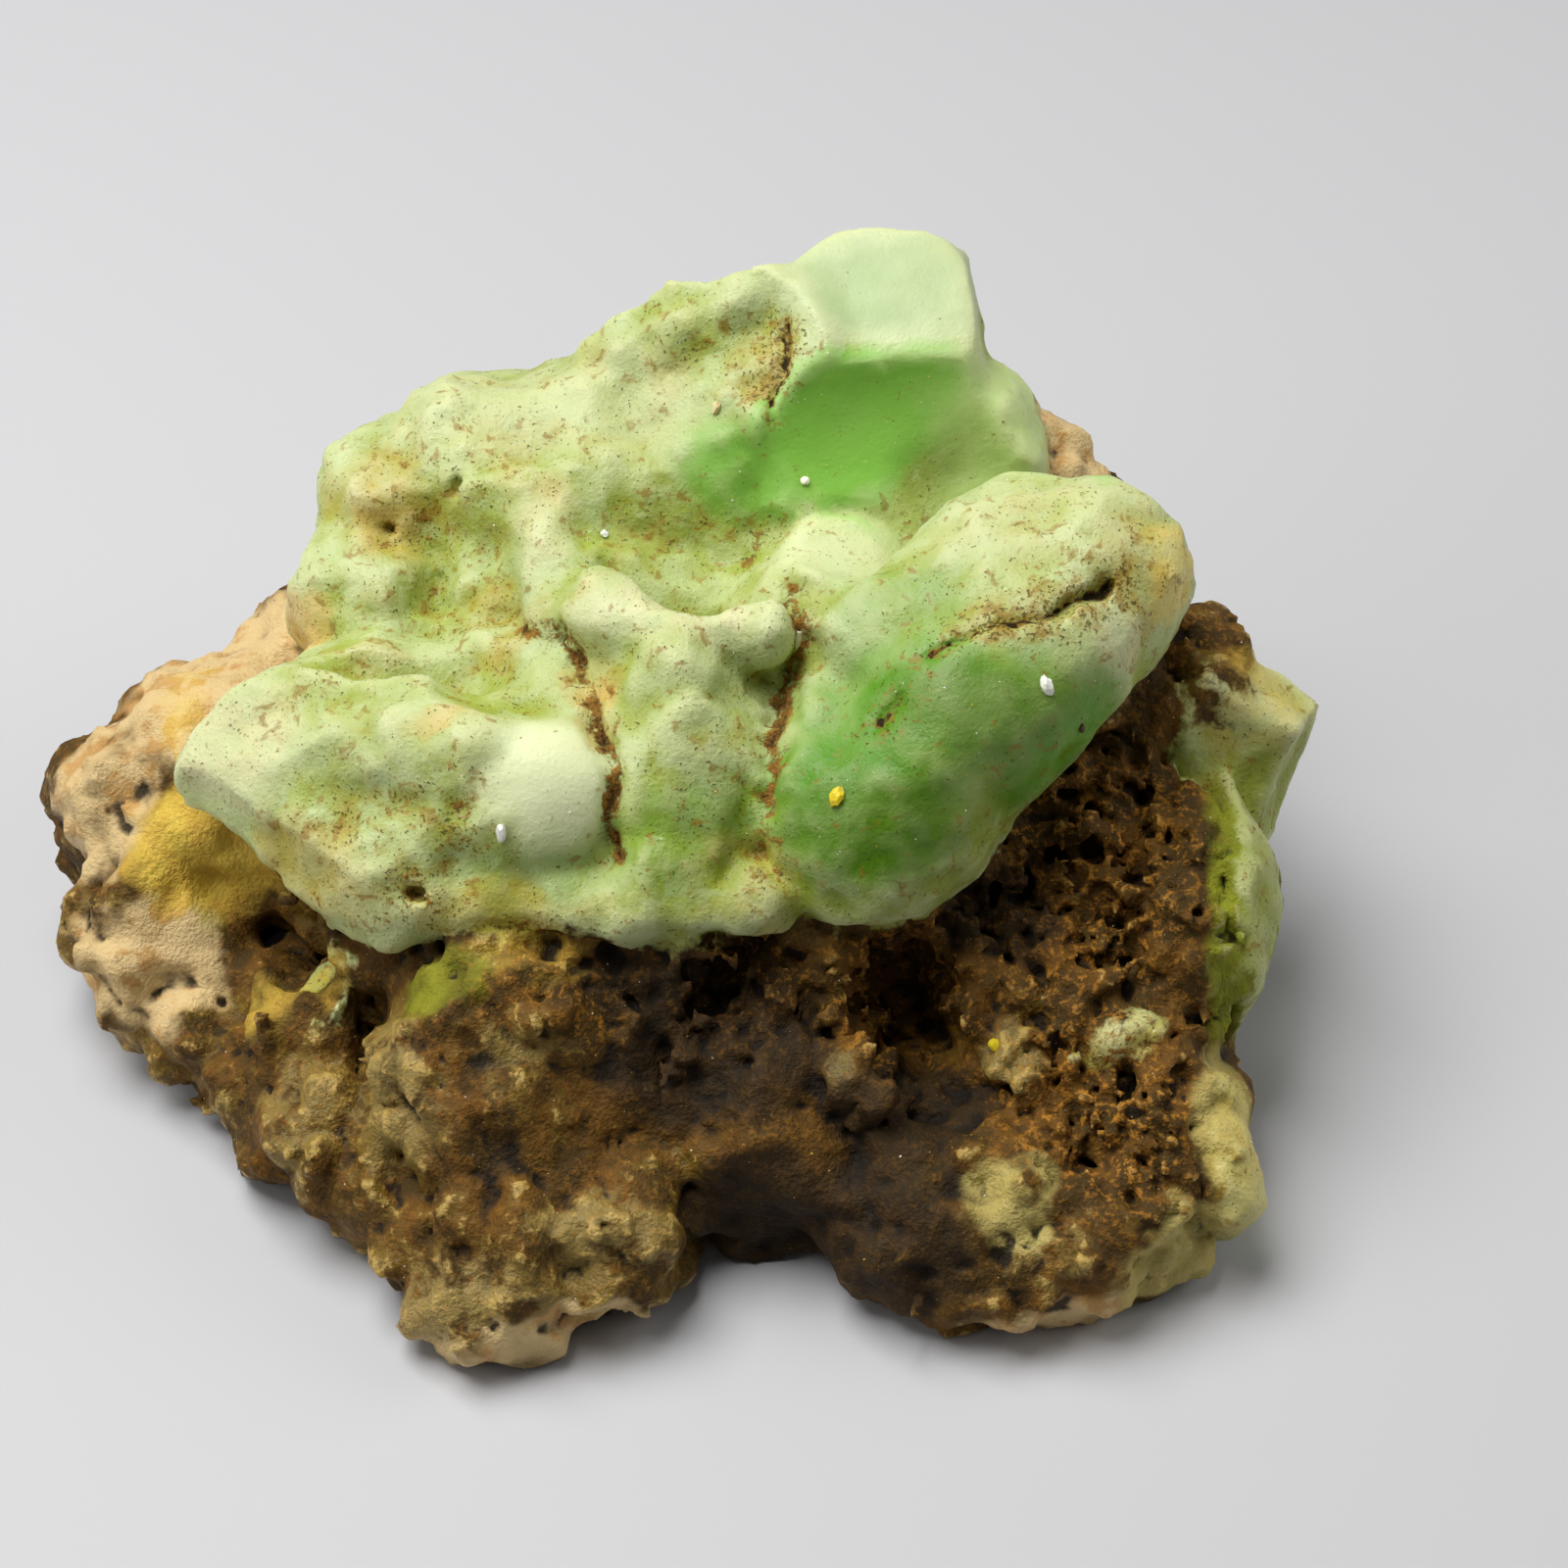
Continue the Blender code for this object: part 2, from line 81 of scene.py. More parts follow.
# lobes: name, centre, half sizes, blend, and a turn in degrees where there is one
rockLobes = [
    ("core", (-1.0, -1.0, 7.6), (16.0, 10.5, 7.2), 2.0),
    ("rear", (-1.0, 8.0, 8.0), (16.5, 9.0, 8.4), 3.0),
    ("rearLeft", (-11.5, 8.5, 7.0), (8.0, 7.0, 6.6), 2.0, (0, 0, 20)),
    ("rearShelf", (-7.0, 14.4, 9.6), (7.0, 4.2, 3.0), 1.0, (12, 0, 8)),
    ("rearKnuckle", (3.5, 15.6, 5.4), (4.6, 3.4, 4.0), 0.8, (0, 0, -10)),
    ("rearCorner", (11.0, 13.0, 7.6), (5.0, 4.2, 4.4), 0.8, (0, 0, -30)),
    ("leftMass", (-18.4, 2.8, 6.4), (7.7, 6.4, 5.9), 1.5, (0, 0, 12)),
    ("leftFront", (-21.2, -2.6, 4.2), (4.3, 4.0, 3.9), 1.5),
    ("leftWeb", (-14.4, -10.4, 2.8), (4.4, 4.2, 3.2), 1.2, (0, 0, -40)),
    ("leftBlock", (-14.6, -8.6, 5.2), (3.0, 2.4, 2.6), 0.8, (0, 0, 10)),
    ("leftFloor", (-16.4, -6.0, 3.0), (3.6, 3.2, 2.6), 1.2, (0, 0, -40)),
    ("frontBody", (-4.6, -9.2, 4.0), (6.6, 7.2, 6.6), 1.5),
    ("frontBulge", (-8.8, -11.8, 5.0), (2.6, 4.0, 4.6), 2.5, (20, 0, 0)),
    ("frontToe", (-7.2, -17.8, 2.0), (3.7, 4.2, 3.1), 1.2, (0, 0, 15)),
    ("frontToeSide", (-2.8, -16.0, 2.6), (3.6, 4.2, 3.4), 1.2),
    ("archWall", (3.6, -9.8, 2.8), (6.6, 7.2, 6.4), 1.5),
    ("rightFoot", (12.6, -13.1, 2.0), (8.2, 7.7, 4.6), 1.5),
    ("rightHeel", (18.4, -11.4, 3.8), (4.0, 6.4, 4.3), 1.5),
    ("rightSlope", (15.0, -8.2, 5.0), (7.0, 5.6, 5.2), 2.0, (20, 0, 0)),
    ("rightBody", (14.8, -1.0, 6.6), (8.0, 7.6, 7.0), 2.0),
    ("rightRear", (13.0, 5.5, 8.6), (8.6, 8.6, 7.6), 2.0),
    ("rimBed", (19.6, -4.8, 7.2), (3.2, 5.8, 5.8), 1.5),
    ("rearPatch", (14.0, 11.0, 15.2), (3.8, 4.2, 4.7), 2.0),
    ("lobeSeat", (14.2, 2.4, 13.6), (4.8, 4.2, 3.2), 1.0),
    ("tipRoot", (19.2, 3.0, 12.2), (3.8, 3.6, 4.4), 1.5, (0, 30, 0)),
    ("rimFoot", (17.6, -18.0, 1.9), (3.8, 1.5, 1.9), 0.8, (0, 0, 28)),
    ("rimLump", (12.6, -16.6, 5.4), (1.0, 1.4, 1.6), 0.5, (0, 20, 0)),
    ("glassyLump", (12.7, -12.2, 7.0), (1.4, 1.2, 1.4), 0.5),
    ("glassyHump", (6.4, -13.2, 7.2), (2.0, 1.2, 1.2), 0.6, (0, 0, -20)),
]
greenLobes = [
    ("greenBack", (-0.5, 8.5, 13.6), (12.0, 7.8, 6.0), 3.0),
    ("greenMiddle", (-5.0, -1.6, 12.8), (11.0, 6.4, 4.4), 2.0),
    ("greenRight", (7.6, -1.6, 13.6), (6.2, 6.2, 4.4), 2.0),
    ("shoulder", (-3.6, 10.6, 17.0), (5.2, 6.0, 4.9), 1.5),
    ("upperLeft", (-7.9, 11.2, 16.4), (4.6, 5.4, 4.7), 1.2),
    ("upperKnob", (-11.6, 10.0, 15.8), (3.6, 4.2, 3.9), 1.0),
    ("lowerKnob", (-12.9, 6.0, 14.4), (3.0, 3.2, 3.4), 1.0),
    ("shelf", (-9.0, 0.6, 13.4), (7.2, 4.8, 3.2), 1.2, (0, 0, -8)),
    ("nose", (-5.4, -5.4, 14.0), (4.0, 3.2, 3.8), 1.0),
    ("centre", (0.3, -3.0, 14.0), (3.9, 4.6, 4.4), 1.5),
    ("saddle", (6.5, 3.0, 17.0), (4.8, 3.8, 3.2), 1.5),
    ("rightRoot", (6.2, -4.6, 14.0), (3.4, 4.4, 4.4), 2.0),
    ("blockFoot", (10.9, 9.4, 17.6), (4.3, 4.6, 5.3), 1.5),
    ("blockBack", (8.0, 13.6, 17.0), (4.6, 4.4, 6.0), 1.5),
    ("rim", (21.9, -3.8, 7.7), (1.2, 5.8, 5.0), 1.0),
    ("rimLow", (20.5, -13.6, 3.4), (1.6, 3.8, 3.4), 0.8, (0, 0, 10)),
    ("rearGreen", (-8.0, 14.0, 13.6), (6.0, 3.4, 2.6), 2.0, (-10, 10, 12)),
    ("rearGreenLow", (4.6, 15.6, 9.6), (5.4, 2.6, 3.6), 1.5, (-15, -20, -8)),
    ("crystal", (16.9, -12.0, 8.0), (1.5, 0.8, 0.8), 0.4, (0, -15, 10)),
]
# blocks with broken faces: name, centre, half sizes, blend, and a point and a direction for each face
greenBlocks = [
    ("backBlock", (8.2, 12.6, 18.6), (5.6, 6.4, 9.0), 1.0, [
        ((8.0, 12.0, 25.3), (-0.10, -0.36, 1.0)),
        ((12.3, 12.0, 22.0), (1.0, 0.05, 0.22)),
        ((4.2, 12.0, 24.4), (-1.0, -0.1, 0.3)),
        ((8.0, 16.6, 22.0), (0.1, 1.0, 0.35)),
    ]),
    ("ridgeBlock", (1.8, 11.4, 16.2), (7.8, 7.0, 10.6), 0.8, [
        ((1.5, 12.0, 24.4), (-0.50, -0.66, 1.0)),
        ((1.5, 14.8, 22.0), (-0.1, 1.0, 0.4)),
    ]),
    ("tipBlock", (22.4, 0.4, 11.6), (3.6, 2.9, 4.4), 0.5, [
        ((23.0, 0.6, 14.3), (0.55, -0.1, 1.0)),
        ((24.3, -0.6, 12.2), (1.0, -0.5, -0.1)),
        ((22.6, -1.5, 12.0), (0.1, -1.0, 0.5)),
    ]),
    ("prism", (-13.8, -8.5, 7.6), (1.5, 1.5, 3.4), 0.3, [
        ((-13.9, -9.5, 8.0), (-0.15, -1.0, 0.35)),
        ((-12.9, -8.6, 8.0), (1.0, -0.35, 0.0)),
        ((-14.7, -8.6, 8.0), (-1.0, -0.2, 0.1)),
        ((-13.8, -8.2, 9.5), (0.2, 0.1, 1.0)),
    ]),
    ("flangeBlock", (-12.6, -3.2, 13.4), (7.0, 5.6, 4.6), 0.8, [
        ((-13.0, -4.6, 15.6), (-0.34, -0.50, 1.0)),
        ((-14.8, -6.0, 11.9), (-0.30, -0.45, -1.0)),
        ((-14.8, -6.6, 12.4), (-0.62, -0.80, 0.10)),
    ]),
]
# ridges: name, start, end, first and last radius, blend
rockRidges = [
    ("frontSlope", (-7.0, -10.6, 8.4), (-6.2, -17.0, 3.2), 3.0, 3.2, 2.0),
    ("leftLedge", (-21.4, -4.8, 2.8), (-9.8, -16.6, 2.4), 2.2, 2.6, 1.0),
]
greenRidges = [
    ("seamFill", (-3.0, -2.4, 14.6), (-1.8, -6.6, 12.0), 2.0, 2.2, 0.5),
    ("foldCrestLeft", (0.2, 12.2, 23.0), (2.4, 12.6, 24.6), 1.1, 1.1, 1.0),
    ("foldCrestRight", (2.4, 12.6, 24.6), (4.4, 12.6, 24.6), 1.1, 0.9, 1.0),
    ("centreFace", (0.4, -1.8, 17.2), (0.2, -7.2, 13.4), 2.5, 2.3, 1.5),
    ("centreCrestLeft", (-3.4, 0.8, 18.6), (0.4, -1.0, 18.2), 1.5, 1.4, 0.8),
    ("centreCrestRight", (0.4, -1.0, 18.2), (3.6, -0.8, 18.7), 1.4, 1.3, 1.0),
    ("upperRidge", (-5.9, 6.6, 18.4), (-4.8, 1.6, 17.4), 1.6, 1.4, 1.2),
    ("flangeCrestLeft", (-18.2, -2.2, 13.2), (-13.5, -3.2, 14.6), 1.2, 1.4, 0.8),
    ("flangeCrestRight", (-13.5, -3.2, 14.6), (-7.4, -5.2, 16.6), 1.4, 1.6, 0.8),
    ("flangeEdgeLeft", (-17.4, -2.8, 12.7), (-14.0, -6.2, 11.6), 1.2, 1.3, 0.8),
    ("flangeEdgeRight", (-14.0, -6.2, 11.6), (-10.4, -7.9, 11.4), 1.3, 1.5, 0.8),
    ("lipLeft", (-10.4, -7.9, 11.6), (-4.6, -7.8, 12.2), 1.5, 1.6, 1.0),
    ("lipRight", (-4.6, -7.8, 12.2), (3.0, -8.6, 12.6), 1.6, 1.6, 1.0),
]
fingerRidges = [  # the finger-like lobe goes on after the hollows
    ("rightLobeRoot", (7.0, -6.6, 14.0), (10.8, -3.2, 17.0), 3.7, 4.1, 0.8),
    ("rightLobe", (10.8, -3.2, 17.0), (15.9, 1.8, 19.4), 4.1, 4.0, 0.6),
    ("rightLobeBack", (9.2, -0.6, 17.4), (13.6, 2.6, 19.2), 3.6, 3.7, 0.6),
]
# hollows: as the lobes
greenHollows = [
    ("scoop", (8.4, 3.8, 25.6), (8.8, 5.7, 6.6), 0.2),
    ("scoopRight", (11.6, 4.4, 20.6), (4.0, 3.8, 3.6), 2.0),
    ("basin", (0.9, 4.2, 21.2), (3.7, 2.9, 3.2), 2.0),
    ("shelfDip", (-10.0, -0.6, 18.6), (5.0, 1.8, 3.2), 0.8, (0, 0, -10)),
    ("flangeUnder", (-17.0, -7.6, 8.8), (5.4, 3.4, 2.8), 0.2, (0, 0, -40)),
]
rockHollows = [
    ("leftFace", (-20.5, -8.6, 10.6), (6.0, 6.0, 5.2), 0.4),
    ("leftCavity", (-16.4, -5.8, 8.0), (3.9, 2.3, 2.2), 0.4, (0, 0, -40)),
    ("arch", (3.5, -20.9, 1.8), (3.9, 4.6, 5.4), 0.6),
    ("darkCavern", (9.0, -10.2, 8.0), (2.5, 3.4, 2.8), 0.5),
    ("smallCavern", (2.2, -10.4, 9.6), (1.2, 2.2, 1.6), 0.4),
    ("rearBite", (-1.5, 20.6, 7.0), (4.6, 4.2, 5.0), 0.8),
    ("rearLeftBite", (-17.5, 15.5, 5.0), (4.6, 4.6, 4.0), 0.8, (0, 0, 30)),
    ("rightBite", (24.6, 8.6, 5.0), (4.0, 4.6, 5.0), 0.8),
    ("underside", (1.0, -7.0, -3.4), (13.0, 8.0, 5.2), 0.8),
    ("undersideLeft", (-17.0, 3.0, -2.4), (5.0, 4.6, 3.4), 0.6),
    ("undersideRight", (18.0, 4.0, -2.4), (6.0, 5.0, 3.6), 0.6),
]
# parts with smooth broken faces
calmNames = {"backBlock", "scoop", "scoopRight", "saddle", "nose", "tipBlock", "flangeBlock"}
# seams between lobes, and cracks: points, half width and depth
sightLine = (0.0, -0.7071, 0.7071)  # they are cut along this direction
pathReach = 3.0  # mm, how far along it
seams = [
    ([(4.6, 0.6, 20.0), (4.6, -0.6, 18.7), (4.2, -3.0, 18.0), (3.7, -4.9, 17.0), (3.7, -6.8, 15.5)],
     0.8, 0.45),
    ([(-3.9, -0.8, 17.9), (-3.2, -2.9, 17.0), (-2.3, -5.0, 16.0), (-2.4, -7.0, 14.8), (-1.9, -8.2, 14.2)],
     0.65, 0.35),
    ([(-3.9, -0.8, 17.9), (-4.4, 0.4, 17.8), (-5.8, 1.2, 17.4)], 0.8, 0.3),
]
cracks = [
    ([(9.4, -3.9, 20.7), (11.6, -3.2, 21.4), (14.2, -2.8, 21.8)], 0.22, 0.3),
    ([(14.2, -2.8, 21.8), (15.2, -2.1, 21.9), (16.4, -1.4, 22.0)], 0.4, 0.8),
    ([(7.5, -5.9, 19.0), (8.3, -5.1, 19.5)], 0.3, 0.3),
    ([(4.4, 11.2, 25.0), (4.1, 9.0, 23.8), (3.4, 7.6, 22.6)], 0.3, 0.3),
]
# pits: centre and radius
pits = [
    ((-13.2, -1.6, 16.4), 0.60),
    ((-12.0, -1.3, 16.2), 0.35),
    ((-9.7, -9.0, 13.2), 0.45),
    ((-9.3, -8.0, 14.1), 0.30),
    ((-10.4, 7.9, 19.6), 0.30),
    ((-11.7, 6.7, 17.8), 0.40),
    ((-8.8, 7.2, 19.5), 0.30),
    ((-4.8, -10.2, 11.6), 0.70),
    ((-2.6, -10.2, 10.8), 0.70),
    ((5.4, -13.9, 7.4), 0.55),
    ((0.6, -10.4, 10.4), 0.5),
]
calmPlaces = [  # smooth breaks: centre, half sizes, strength
    ((8.0, 11.6, 24.6), (5.4, 5.0, 4.0), 1.0),
    ((8.0, 8.0, 21.4), (5.6, 4.0, 4.4), 1.0),
    ((-4.6, -6.2, 16.8), (3.0, 3.0, 3.0), 1.0),
    ((6.6, 4.0, 19.2), (3.4, 2.6, 2.0), 1.0),
    ((11.0, -4.4, 19.0), (6.0, 4.0, 4.0), 0.6),
]
smoothRockPlaces = [
    ((-19.0, -3.4, 8.6), (4.4, 3.4, 4.6), 1.0),
    ((-19.0, 4.0, 10.6), (6.0, 5.4, 4.4), 0.6),
    ((4.0, -15.6, 4.0), (4.4, 3.0, 3.4), 0.8),
]
spongyPlaces = [  # centre, half sizes, strength
    ((15.5, -5.0, 9.6), (6.2, 7.6, 6.6), 1.0),
    ((16.4, -13.2, 6.0), (4.8, 5.6, 4.4), 1.0),
    ((8.4, -10.0, 8.4), (3.8, 4.0, 3.8), 0.9),
    ((19.4, 2.4, 12.6), (3.6, 3.0, 4.4), 0.8),
    ((2.0, -10.4, 9.2), (3.4, 3.0, 2.6), 0.8),
    ((-4.0, -11.0, 10.0), (5.0, 2.4, 2.4), 0.6),
]


class Wire:
    # one output of a node, with the sums written as Python sums

    def __init__(self, tree, socket):
        self.tree = tree
        self.socket = socket

    def node(self, kind, settings, inputs, output=0):
        made = self.tree.nodes.new(kind)
        for key, value in settings.items():
            if key == "stops":
                setStops(made.color_ramp, value)
            else:
                setattr(made, key, value)
        for key, value in inputs.items():
            if isinstance(value, Wire):
                self.tree.links.new(value.socket, made.inputs[key])
            else:
                made.inputs[key].default_value = value
        return Wire(self.tree, made.outputs[output])

    def use(self, tree, inputs):  # the result of a small tree
        return self.node("GeometryNodeGroup", {"node_tree": tree}, inputs, "Value")

    def math(self, operation, other=0.0, third=0.0):
        return self.node("ShaderNodeMath", {"operation": operation}, {0: self, 1: other, 2: third})

    def clamped(self):
        return self.node("ShaderNodeClamp", {}, {"Value": self})

    def step(self, low, high):  # a smooth step from 0 at low to 1 at high
        inputs = {"Value": self, "From Min": low, "From Max": high}
        return self.node("ShaderNodeMapRange", {"interpolation_type": "SMOOTHSTEP"}, inputs)

    def vector(self, operation, other):
        return self.node("ShaderNodeVectorMath", {"operation": operation}, {0: self, 1: other})

    def measure(self, operation, other=(0.0, 0.0, 0.0)):
        settings = {"operation": operation}
        return self.node("ShaderNodeVectorMath", settings, {0: self, 1: other}, "Value")

    def scaled(self, factor):
        return self.node("ShaderNodeVectorMath", {"operation": "SCALE"}, {0: self, "Scale": factor})

    def colour(self, first, second):  # the wire is the share of the second colour
        settings = {"data_type": "RGBA"}
        return self.node("ShaderNodeMix", settings, {0: self, 6: first, 7: second}, 2)

    def __add__(self, other):
        return self.math("ADD", other)

    def __sub__(self, other):
        return self.math("SUBTRACT", other)

    def __rsub__(self, other):
        return self.node("ShaderNodeMath", {"operation": "SUBTRACT"}, {0: other, 1: self})

    def __mul__(self, other):
        return self.math("MULTIPLY", other)

    def __truediv__(self, other):
        return self.math("DIVIDE", other)

    def __rtruediv__(self, other):
        return self.node("ShaderNodeMath", {"operation": "DIVIDE"}, {0: other, 1: self})

    def __neg__(self):
        return self.math("MULTIPLY", -1.0)

    __radd__ = __add__
    __rmul__ = __mul__


def source(tree, kind, output):  # a wire out of a node that has no inputs
    return Wire(tree, tree.nodes.new(kind).outputs[output])


def together(operation, wires):  # one wire from many, such as the highest of them
    return functools.reduce(lambda first, second: first.math(operation, second), wires)


def setStops(ramp, stops):
    while len(ramp.elements) < len(stops):
        ramp.elements.new(0.5)
    for element, (place, colour) in zip(ramp.elements, stops):
        element.position = place
        element.color = colour


def paint(red, green, blue):  # a colour as seen on a screen, 0 to 255, made linear
    def linear(value):
        share = value / 255
        return share / 12.92 if share <= 0.04045 else ((share + 0.055) / 1.055) ** 2.4
    return (linear(red), linear(green), linear(blue), 1.0)


# the stone's field of distances: below 0 inside, in mm

def smallTree(name, vectors, numbers, build):
    # a tree for one sum that is used many times: named inputs, one number out
    tree = bpy.data.node_groups.new(name, "GeometryNodeTree")
    for key in vectors:
        tree.interface.new_socket(key, in_out="INPUT", socket_type="NodeSocketVector")
    for key in numbers:
        tree.interface.new_socket(key, in_out="INPUT", socket_type="NodeSocketFloat")
    tree.interface.new_socket("Value", in_out="OUTPUT", socket_type="NodeSocketFloat")
    entry = tree.nodes.new("NodeGroupInput")
    result = build(*(Wire(tree, entry.outputs[key]) for key in [*vectors, *numbers]))
    out = tree.nodes.new("NodeGroupOutput")
    tree.links.new(result.socket, out.inputs["Value"])
    return tree


def ellipsoidSum(point, centre, halfSizes):
    unit = point.vector("SUBTRACT", centre).vector("DIVIDE", halfSizes)
    reach = unit.measure("LENGTH")
    slope = unit.vector("DIVIDE", halfSizes).measure("LENGTH")
    return reach * (reach - 1.0) / slope.math("MAXIMUM", 0.0001)


def ridgeSum(point, start, end, firstRadius, lastRadius):
    along = end.vector("SUBTRACT", start)
    fromStart = point.vector("SUBTRACT", start)
    reach = fromStart.measure("DOT_PRODUCT", along) / along.measure("DOT_PRODUCT", along)
    share = reach.clamped()
    axis = fromStart.vector("SUBTRACT", along.scaled(share)).measure("LENGTH")
    return axis - (share * (lastRadius - firstRadius) + firstRadius)


def faceSum(point, onFace, normal):
    away = point.vector("SUBTRACT", onFace).measure("DOT_PRODUCT", normal)
    return away / normal.measure("LENGTH")


def placeSum(point, centre, halfSizes, strength):  # 1 inside a place, fading to 0 at its edge
    reach = point.vector("SUBTRACT", centre).vector("DIVIDE", halfSizes).measure("LENGTH")
    return reach.step(1.2, 0.5) * strength


ellipsoidTree = smallTree("ellipsoid", ["Point", "Centre", "Half Sizes"], [], ellipsoidSum)
ridgeTree = smallTree("ridge", ["Point", "Start", "End"], ["First", "Last"], ridgeSum)
faceTree = smallTree("face", ["Point", "On", "Normal"], [], faceSum)
placeTree = smallTree("place", ["Point", "Centre", "Half Sizes"], ["Strength"], placeSum)


def ellipsoid(point, centre, halfSizes, turn=None):
    if turn:
        angles = tuple(math.radians(angle) for angle in turn)
        settings = {"rotation_type": "EULER_XYZ", "invert": True}
        inputs = {"Vector": point, "Center": centre, "Rotation": angles}
        point = point.node("ShaderNodeVectorRotate", settings, inputs)
    return point.use(ellipsoidTree, {"Point": point, "Centre": centre, "Half Sizes": halfSizes})


def ridge(point, start, end, firstRadius, lastRadius):
    inputs = {"Point": point, "Start": start, "End": end, "First": firstRadius, "Last": lastRadius}
    return point.use(ridgeTree, inputs)


def joined(first, second, blend):
    return second if first is None else first.math("SMOOTH_MIN", second, blend)


def cut(body, tool, blend):
    return body.math("SMOOTH_MAX", -tool, blend)


def noiseAt(point, size, detail=1.0, roughness=0.5, output=0):
    inputs = {"Vector": point, "Scale": 1.0 / size, "Detail": detail, "Roughness": roughness}
    return point.node("ShaderNodeTexNoise", {}, inputs, output)


def cellAt(point, size):  # distance from the nearest cell's middle, in cells
    inputs = {"Vector": point, "Scale": 1.0 / size, "Randomness": 0.9}
    return point.node("ShaderNodeTexVoronoi", {}, inputs, "Distance")


def wavy(point, waves):  # moves the point by smooth noise, so that lobes are irregular
    moved = point
    for size, reach in waves:
        noise = noiseAt(point, size, output="Color")
        push = noise.vector("SUBTRACT", (0.5, 0.5, 0.5)).scaled(2.0 * reach)
        moved = moved.vector("ADD", push)
    return moved


def block(point, centre, halfSizes, faces):
    body = ellipsoid(point, centre, halfSizes)
    for onFace, normal in faces:
        side = point.use(faceTree, {"Point": point, "On": onFace, "Normal": normal})
        body = body.math("SMOOTH_MAX", side, faceBlend)
    return body


def mineral(rough, calm, lobes, blocks, ridges, hollows, lateRidges=()):
    def at(name):  # smooth breaks are hardly wavy
        return calm if name in calmNames else rough

    body = None
    for name, centre, halfSizes, blend, *turn in lobes:
        body = joined(body, ellipsoid(at(name), centre, halfSizes, *turn), blend)
    for name, centre, halfSizes, blend, faces in blocks:
        body = joined(body, block(at(name), centre, halfSizes, faces), blend)
    for name, *shape, blend in ridges:
        body = joined(body, ridge(rough, *shape), blend)
    for name, centre, halfSizes, blend, *turn in hollows:
        body = cut(body, ellipsoid(at(name), centre, halfSizes, *turn), blend)
    for name, *shape, blend in lateRidges:
        body = joined(body, ridge(calm, *shape), blend)
    return body


def rockSum(point):
    calm = wavy(point, calmWaves)
    return mineral(wavy(point, rockWaves), calm, rockLobes, [], rockRidges, rockHollows)


def greenSum(point):
    calm = wavy(point, calmWaves)
    rough = wavy(point, greenWaves)
    return mineral(rough, calm, greenLobes, greenBlocks, greenRidges, greenHollows, fingerRidges)


rockTree = smallTree("rockDistance", ["Point"], [], rockSum)
greenTree = smallTree("greenDistance", ["Point"], [], greenSum)


def minerals(point):  # distances from the rock and from the green mineral
    return point.use(rockTree, {"Point": point}), point.use(greenTree, {"Point": point})


def flattened(point):  # moved along the line of sight into one plane
    if isinstance(point, tuple):
        along = sum(a * b for a, b in zip(point, sightLine))
        return tuple(a - along * b for a, b in zip(point, sightLine))
    along = point.measure("DOT_PRODUCT", sightLine)
    drop = along.node("ShaderNodeVectorMath", {"operation": "SCALE"}, {0: sightLine, "Scale": along})
    return point.vector("SUBTRACT", drop)


def alongPath(point, points):
    # distance from a path, seen along the line of sight, and only near the path
    flat = flattened(point)
    runs = []
    for start, end in zip(points, points[1:]):
        seen = ridge(flat, flattened(start), flattened(end), 0.0, 0.0)
        runs.append(seen.math("MAXIMUM", ridge(point, start, end, pathReach, pathReach)))
    return together("MINIMUM", runs)


def grooves(point, rows, reach=1.0):
    # 1 in the middle of each seam or crack, 0 at its edge, and the depth to cut there
    bent = wavy(point, grooveWaves)
    width = (noiseAt(point, 0.9, 2.0) - 0.5) * 1.6 + 1.0
    inside = []
    depths = []
    for points, halfWidth, deep in rows:
        inside.append(alongPath(bent, points).step(width * (halfWidth * reach), 0.0))
        depths.append(inside[-1] * deep)
    return together("MAXIMUM", inside), together("MAXIMUM", depths)


def placeMask(point, places):
    found = []
    for centre, halfSizes, strength in places:
        inputs = {"Point": point, "Centre": centre, "Half Sizes": halfSizes, "Strength": strength}
        found.append(point.use(placeTree, inputs))
    return together("MAXIMUM", found)


def stoneDistance(point, sizes):
    rock, green = minerals(point)
    rough = wavy(point, greenWaves)
    ragged = wavy(point, raggedWaves)

    spongy = placeMask(rough, spongyPlaces)
    lumps = 0.42 - cellAt(ragged, lumpSize)  # highest in the middle of a lump
    crumbs = noiseAt(point, 1.1, 3.0, roughness=0.62) - 0.5
    even = 1 - placeMask(rough, smoothRockPlaces) * 0.85
    rock = rock - lumps * sizes["Lump Height"] * (1 - spongy) * even
    rock = rock - crumbs * sizes["Crumb Height"] * (spongy * 3.6 + 1.2) * even
    shell = -(rock + sizes["Pore Depth"])
    uneven = (noiseAt(point, 3.0, 1.0) - 0.5) * 0.7
    for size, radius in poreSizes:
        pore = cellAt(ragged, size) * size - uneven * radius * 2 - radius
        pore = (pore + (1 - spongy) * 0.8).math("MAXIMUM", shell)
        rock = cut(rock, pore, 0.12)

    calm = placeMask(rough, calmPlaces)
    dish = cellAt(rough, chipSize)  # shallow chips with an edge between
    green = green + (0.25 - dish * dish) * sizes["Chip Depth"] * (1 - calm)
    green = green - (noiseAt(point, 1.3, 3.0) - 0.5) * 2 * sizes["Green Ripple"] * (1 - calm * 0.75)
    whole = joined(rock, green, mineralsBlend)
    seam, seamDepth = grooves(point, seams)
    whole = whole + seamDepth + grooves(point, cracks)[1] - crumbs * seam * 0.8
    for centre, radius in pits:
        whole = cut(whole, ellipsoid(ragged, centre, (radius, radius, radius)), 0.2)
    flat = -point.node("ShaderNodeSeparateXYZ", {}, {"Vector": point}, "Z")
    return whole.math("SMOOTH_MAX", flat, 0.2)


